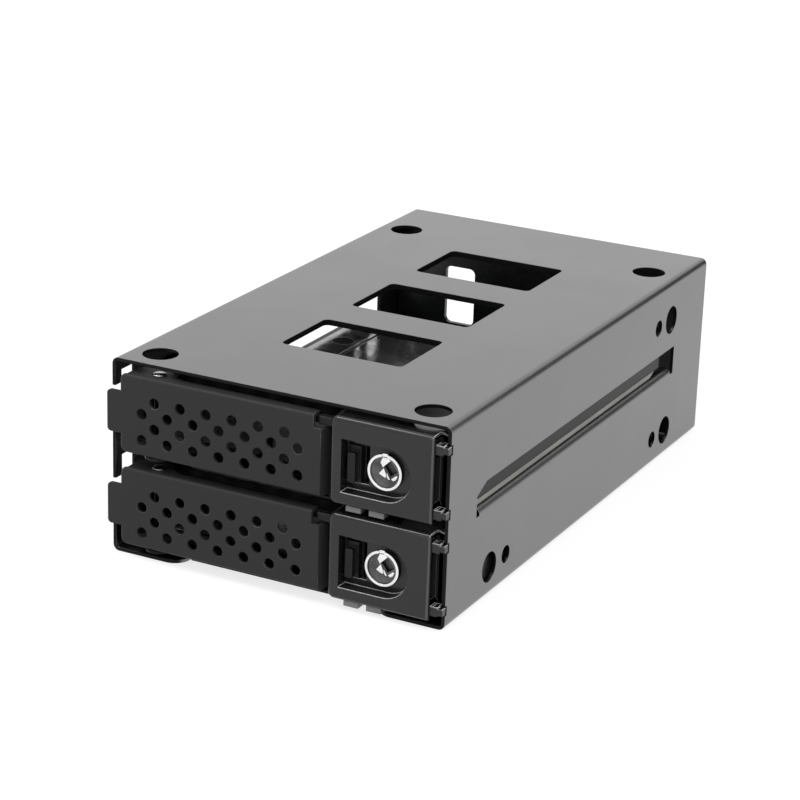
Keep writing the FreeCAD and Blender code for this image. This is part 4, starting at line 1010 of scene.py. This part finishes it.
def chips():
    """Controller chip and two smaller ones, with their legs."""
    bodies = []
    legs = []
    kinds = ((-8.0, 21.8, 9.0, 9.0, 10), (30.5, 14.0, 5.2, 4.2, 4), (-36.0, 12.0, 6.0, 4.4, 5))
    for x, z, wide, tall, count in kinds:
        bodies.append(turned(chip(wide, tall), moved(*mm(x, z, 0.0))))
        first = 0.8
        pitch = (wide - 2 * first) / (count - 1)
        for side in (-1, 1):
            for at in range(count):
                legs.append(leg(x - wide / 2 + first + pitch * at, z + side * tall / 2, side))
    on_rear("backplane_chips", gathered("chips", *bodies), "epoxy")
    on_rear("backplane_legs", gathered("legs", *legs), "tin")


def capacitors():
    """Three round capacitors on their square feet."""
    can = mm_points((0.0, 6.5), (2.6, 6.5), (3.0, 6.35), (3.15, 6.0), (3.15, 2.2), (2.9, 1.9), (2.9, 1.5),
                    (3.15, 1.2), (3.15, 0.8), (0.0, 0.8))
    foot = mm_points((-3.3, -3.3), (3.3, -3.3), (3.3, 2.2), (2.2, 3.3), (-2.2, 3.3), (-3.3, 2.2))
    places = [moved(*mm(x, 44.5, 0.0)) for x in (17.0, 27.0, 37.0)]
    on_rear("capacitor_cans", repeated("cans", lathe("can", can, 40), places), "zinc")
    feet = repeated("feet", plate("foot", foot, *mm(0.0, 0.9, 0.12)), places)
    on_rear("capacitor_feet", feet, "epoxy")


def small_parts():
    """Small ceramic parts with tinned ends, lying or standing by chance."""
    dice = random.Random(11)
    middles = []
    ends = []
    spots = [(x, z) for x in (-37.0, -33.0, -29.0, -21.0) for z in (5.0, 18.5, 49.0, 53.0)]
    spots += [(x, z) for x in (14.0, 18.5, 23.0, 38.0) for z in (7.0, 12.0, 17.0, 20.5, 37.8)]
    for x, z in spots:
        put = moved(*mm(x, z, 0.0)) @ spun(QUARTER * dice.randrange(2), "Z")
        body = plate("body", rectangle(*mm(-0.62, 0.62, -0.6, 0.6)), *mm(0.06, 0.62, 0.05))
        middles.append(turned(body, put))
        for left in (-1.0, 0.6):
            cap = plate("cap", rectangle(*mm(left, left + 0.4, -0.62, 0.62)), *mm(0.0, 0.66, 0.06))
            ends.append(turned(cap, put))
    on_rear("small_parts", gathered("middles", *middles), "ceramic")
    on_rear("small_part_ends", gathered("ends", *ends), "tin")


def socket_contacts(details, bay):
    """Gold blades in a drive socket: seven for data and fifteen for power."""
    low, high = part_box(f"drive_socket_{bay}")
    half, pitch = details.contact_width / 2, details.contact_pitch
    middle = (low.x + high.x) / 2
    floor = (low.z + high.z) / 2 - 1.2 * MM
    data, power = middle - 11.8 * MM, middle + 6.8 * MM
    starts = [data + (at - 3) * pitch for at in range(7)] + [power + (at - 7) * pitch for at in range(15)]
    shape = mm_points((0.6, 0.0), (4.9, 0.0), (4.9, 0.25), (1.8, 0.42), (0.6, 0.12))
    stand = Matrix(((0, 0, 1, 0), (1, 0, 0, low.y), (0, 1, 0, floor), (0, 0, 0, 1)))
    blade = turned(plate("blade", shape, -half, half, 0.03 * MM), stand)
    blades = repeated("blades", blade, [moved(x, 0.0, 0.0) for x in starts])
    piece(f"socket_contacts_{bay}", blades, "gold", "cage", "socket")


def port_contacts(details, bay):
    """Seven gold strips in a data port."""
    low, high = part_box(f"data_port_{bay}")
    half, pitch = details.contact_width / 2, details.contact_pitch
    middle = (low.x + high.x) / 2
    top = (low.z + high.z) / 2 + 0.6 * MM
    shape = rectangle(-half, half, low.y + 1.2 * MM, high.y - 1.5 * MM)
    strip = plate("strip", shape, top, top + 0.07 * MM, 0.02 * MM)
    strips = repeated("strips", strip, [moved(middle + (at - 3) * pitch, 0.0, 0.0) for at in range(7)])
    piece(f"port_contacts_{bay}", strips, "gold", "cage", "socket")


def power_pins():
    """Tinned sleeves on the power port's pins, and the solder joints on the other face of the board."""
    low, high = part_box("power_port")
    front, rear = (corner.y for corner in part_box("backplane_board"))
    middle = (low.x + high.x) / 2
    level = (low.z + high.z) / 2
    reach = high.y - low.y - 1.2 * MM
    shares = mm_points((0.0, 0.0), (0.7, 0.0), (1.0, 0.35), (1.09, 0.8))
    tip = [(radius, reach - down) for radius, down in shares]
    sleeve = lathe("sleeve", tip + mm_points((1.09, 1.32), (0.0, 1.32)), 28)
    spots = [middle + (at - 1.5) * 5.08 * MM for at in range(4)]
    pins = repeated("pins", sleeve, [facing("back", Vector((x, rear, level))) for x in spots])
    piece("power_pins", pins, "tin", "cage", "nylon")
    drop = mm_points((0.0, 1.1), (0.45, 1.05), (0.55, 0.7), (0.8, 0.35), (1.3, 0.08), (1.5, 0.0), (0.0, -0.1))
    joints = repeated("joints", lathe("joint", drop, 24),
                      [facing("front", Vector((x, front, level))) for x in spots])
    piece("power_solder", joints, "tin", "cage", "board")


class CAGE_OT_backplane(bpy.types.Operator):
    """Finish the backplane and fit its copper lines, chips, capacitors, contacts and solder"""

    bl_idname = "drive_cage.backplane"
    bl_label = "Backplane"

    def execute(self, context):
        details = context.scene.cage_details
        paint("board", "backplane_board")
        paint("socket", *both("drive_socket", "data_port"))
        paint("nylon", "power_port")
        paint("lamp", "status_lamps")
        copper_lines(details)
        chips()
        capacitors()
        small_parts()
        for bay in BAYS:
            socket_contacts(details, bay)
            port_contacts(details, bay)
        power_pins()
        return {"FINISHED"}


def pale_floor(scene, values):
    """Wide matt floor that glows up to white where it is seen."""
    mesh = bpy.data.meshes.new("floor")
    with reworked(mesh) as work:
        bmesh.ops.create_circle(work, cap_ends=True, segments=96, radius=9.0)
    white = (1.0, 1.0, 1.0, 1.0)
    pale = Finish("pale floor", values.floor, 0.9, Specular_IOR_Level=0.0, Emission_Color=white)
    pale.feed(pale.shader.inputs["Emission Strength"], pale.times(pale.white_rays(), values.floor_glow))
    mesh.materials.append(pale.material)
    floor = bpy.data.objects.new("floor", mesh)
    floor.location.z = -0.05 * MM
    scene.collection.objects.link(floor)


def surroundings(scene, values):
    """White studio: full white where it is seen, less as a light."""
    world = bpy.data.worlds.new("white studio")
    world.use_nodes = True
    nodes = Nodes(world.node_tree)
    background = nodes.tree.nodes["Background"]
    background.inputs["Color"].default_value = (1.0, 1.0, 1.0, 1.0)
    inputs = {"Value": nodes.white_rays(), "To Min": values.surround, "To Max": 1.0}
    nodes.feed(background.inputs["Strength"], nodes.node("MapRange", "Result", inputs))
    scene.world = world


def softbox(scene, name, place, aim, wide, tall, level):
    """Rectangular light that shows at this level in a mirror."""
    light = bpy.data.lights.new(name, "AREA")
    light.shape = "RECTANGLE"
    light.size = wide
    light.size_y = tall
    light.energy = level * math.pi * wide * tall
    made = bpy.data.objects.new(name, light)
    made.location = place
    made.rotation_euler = (Vector(aim) - Vector(place)).to_track_quat("-Z", "Y").to_euler()
    made.visible_camera = False
    scene.collection.objects.link(made)


def black_card(scene, values):
    """Black card behind the cage, which draws a dark line along its folds."""
    mesh = plate("black card", rectangle(-0.27, 0.25, 0.0, 0.76), -2 * MM, 2 * MM, MM)
    mesh.materials.append(Finish("black card", values.card, 0.9, Specular_IOR_Level=0.0).material)
    card = bpy.data.objects.new("black card", mesh)
    turn = spun(math.radians(-27.0), "Z") @ spun(QUARTER, "X")
    card.matrix_world = moved(0.545, 1.07, 0.0) @ turn
    card.visible_camera = False
    card.visible_shadow = False
    scene.collection.objects.link(card)


def photo_camera(scene, values):
    """Camera as the photo's: its place in metres, and its turns about the cage, up and to the side."""
    place = (0.3360, -0.6772, 0.3017)
    around, above, roll = (math.radians(angle) for angle in (26.962, 19.863, 1.905))
    view = bpy.data.cameras.new("camera")
    view.lens = values.lens
    view.sensor_width = 36.0
    view.clip_start = 0.01
    view.clip_end = 50.0
    made = bpy.data.objects.new("camera", view)
    right = Vector((math.cos(around), math.sin(around), 0.0))
    level = Vector((math.sin(around), -math.cos(around), 0.0))
    back = level * math.cos(above) + Vector((0.0, 0.0, math.sin(above)))
    up = back.cross(right)
    across = right * math.cos(roll) + up * math.sin(roll)
    upward = up * math.cos(roll) - right * math.sin(roll)
    turn = Matrix((across, upward, back)).transposed()
    made.matrix_world = Matrix.Translation(place) @ turn.to_4x4()
    scene.collection.objects.link(made)
    scene.camera = made


class CAGE_OT_stage(bpy.types.Operator):
    """Make the pale floor, the soft studio light and the camera"""

    bl_idname = "drive_cage.stage"
    bl_label = "Floor, light and camera"

    def execute(self, context):
        scene = context.scene
        values = scene.cage_stage
        scene.view_settings.view_transform = "Standard"
        pale_floor(scene, values)
        surroundings(scene, values)
        softbox(scene, "overhead light", (0.45, -0.45, 1.15), (0.0, 0.0, 0.03), 1.2, 1.1, values.key)
        softbox(scene, "edge light", (-0.47, -0.37, 0.95), (0.0, -0.09, 0.05), 0.3, 0.22, values.edge)
        softbox(scene, "rear light", (-0.55, 1.15, 0.3), (0.0, 0.05, 0.06), 1.3, 0.3, values.rear)
        black_card(scene, values)
        photo_camera(scene, values)
        return {"FINISHED"}


class CAGE_PT_panel(bpy.types.Panel):
    """Buttons for each step of dressing the drive cage, and its finishes, details and stage settings"""

    bl_idname = "CAGE_PT_panel"
    bl_label = "Drive cage"
    bl_space_type = "VIEW_3D"
    bl_region_type = "UI"
    bl_category = "Drive cage"

    def draw(self, context):
        scene = context.scene
        for operator in OPERATORS:
            self.layout.operator(operator.bl_idname)
        groups = {"Finishes": scene.cage_finishes, "Details": scene.cage_details, "Stage": scene.cage_stage}
        for title, group in groups.items():
            box = self.layout.box()
            box.label(text=title)
            for name in group.bl_rna.properties.keys():
                if name not in ("rna_type", "name"):
                    box.prop(group, name)


OPERATORS = (CAGE_OT_shell, CAGE_OT_carriers, CAGE_OT_latches, CAGE_OT_locks, CAGE_OT_fasteners,
             CAGE_OT_backplane, CAGE_OT_stage)
CLASSES = (CageFinishes, CageDetails, CageStage, *OPERATORS, CAGE_PT_panel)


def register():
    for each in CLASSES:
        bpy.utils.register_class(each)
    bpy.types.Scene.cage_finishes = PointerProperty(type=CageFinishes)
    bpy.types.Scene.cage_details = PointerProperty(type=CageDetails)
    bpy.types.Scene.cage_stage = PointerProperty(type=CageStage)


def unregister():
    del bpy.types.Scene.cage_stage
    del bpy.types.Scene.cage_details
    del bpy.types.Scene.cage_finishes
    for each in reversed(CLASSES):
        bpy.utils.unregister_class(each)


def main():
    register()
    bpy.ops.drive_cage.shell()
    bpy.ops.drive_cage.carriers()
    bpy.ops.drive_cage.latches()
    bpy.ops.drive_cage.locks()
    bpy.ops.drive_cage.fasteners()
    bpy.ops.drive_cage.backplane()
    bpy.ops.drive_cage.stage()


if __name__ == "__main__":
    main()
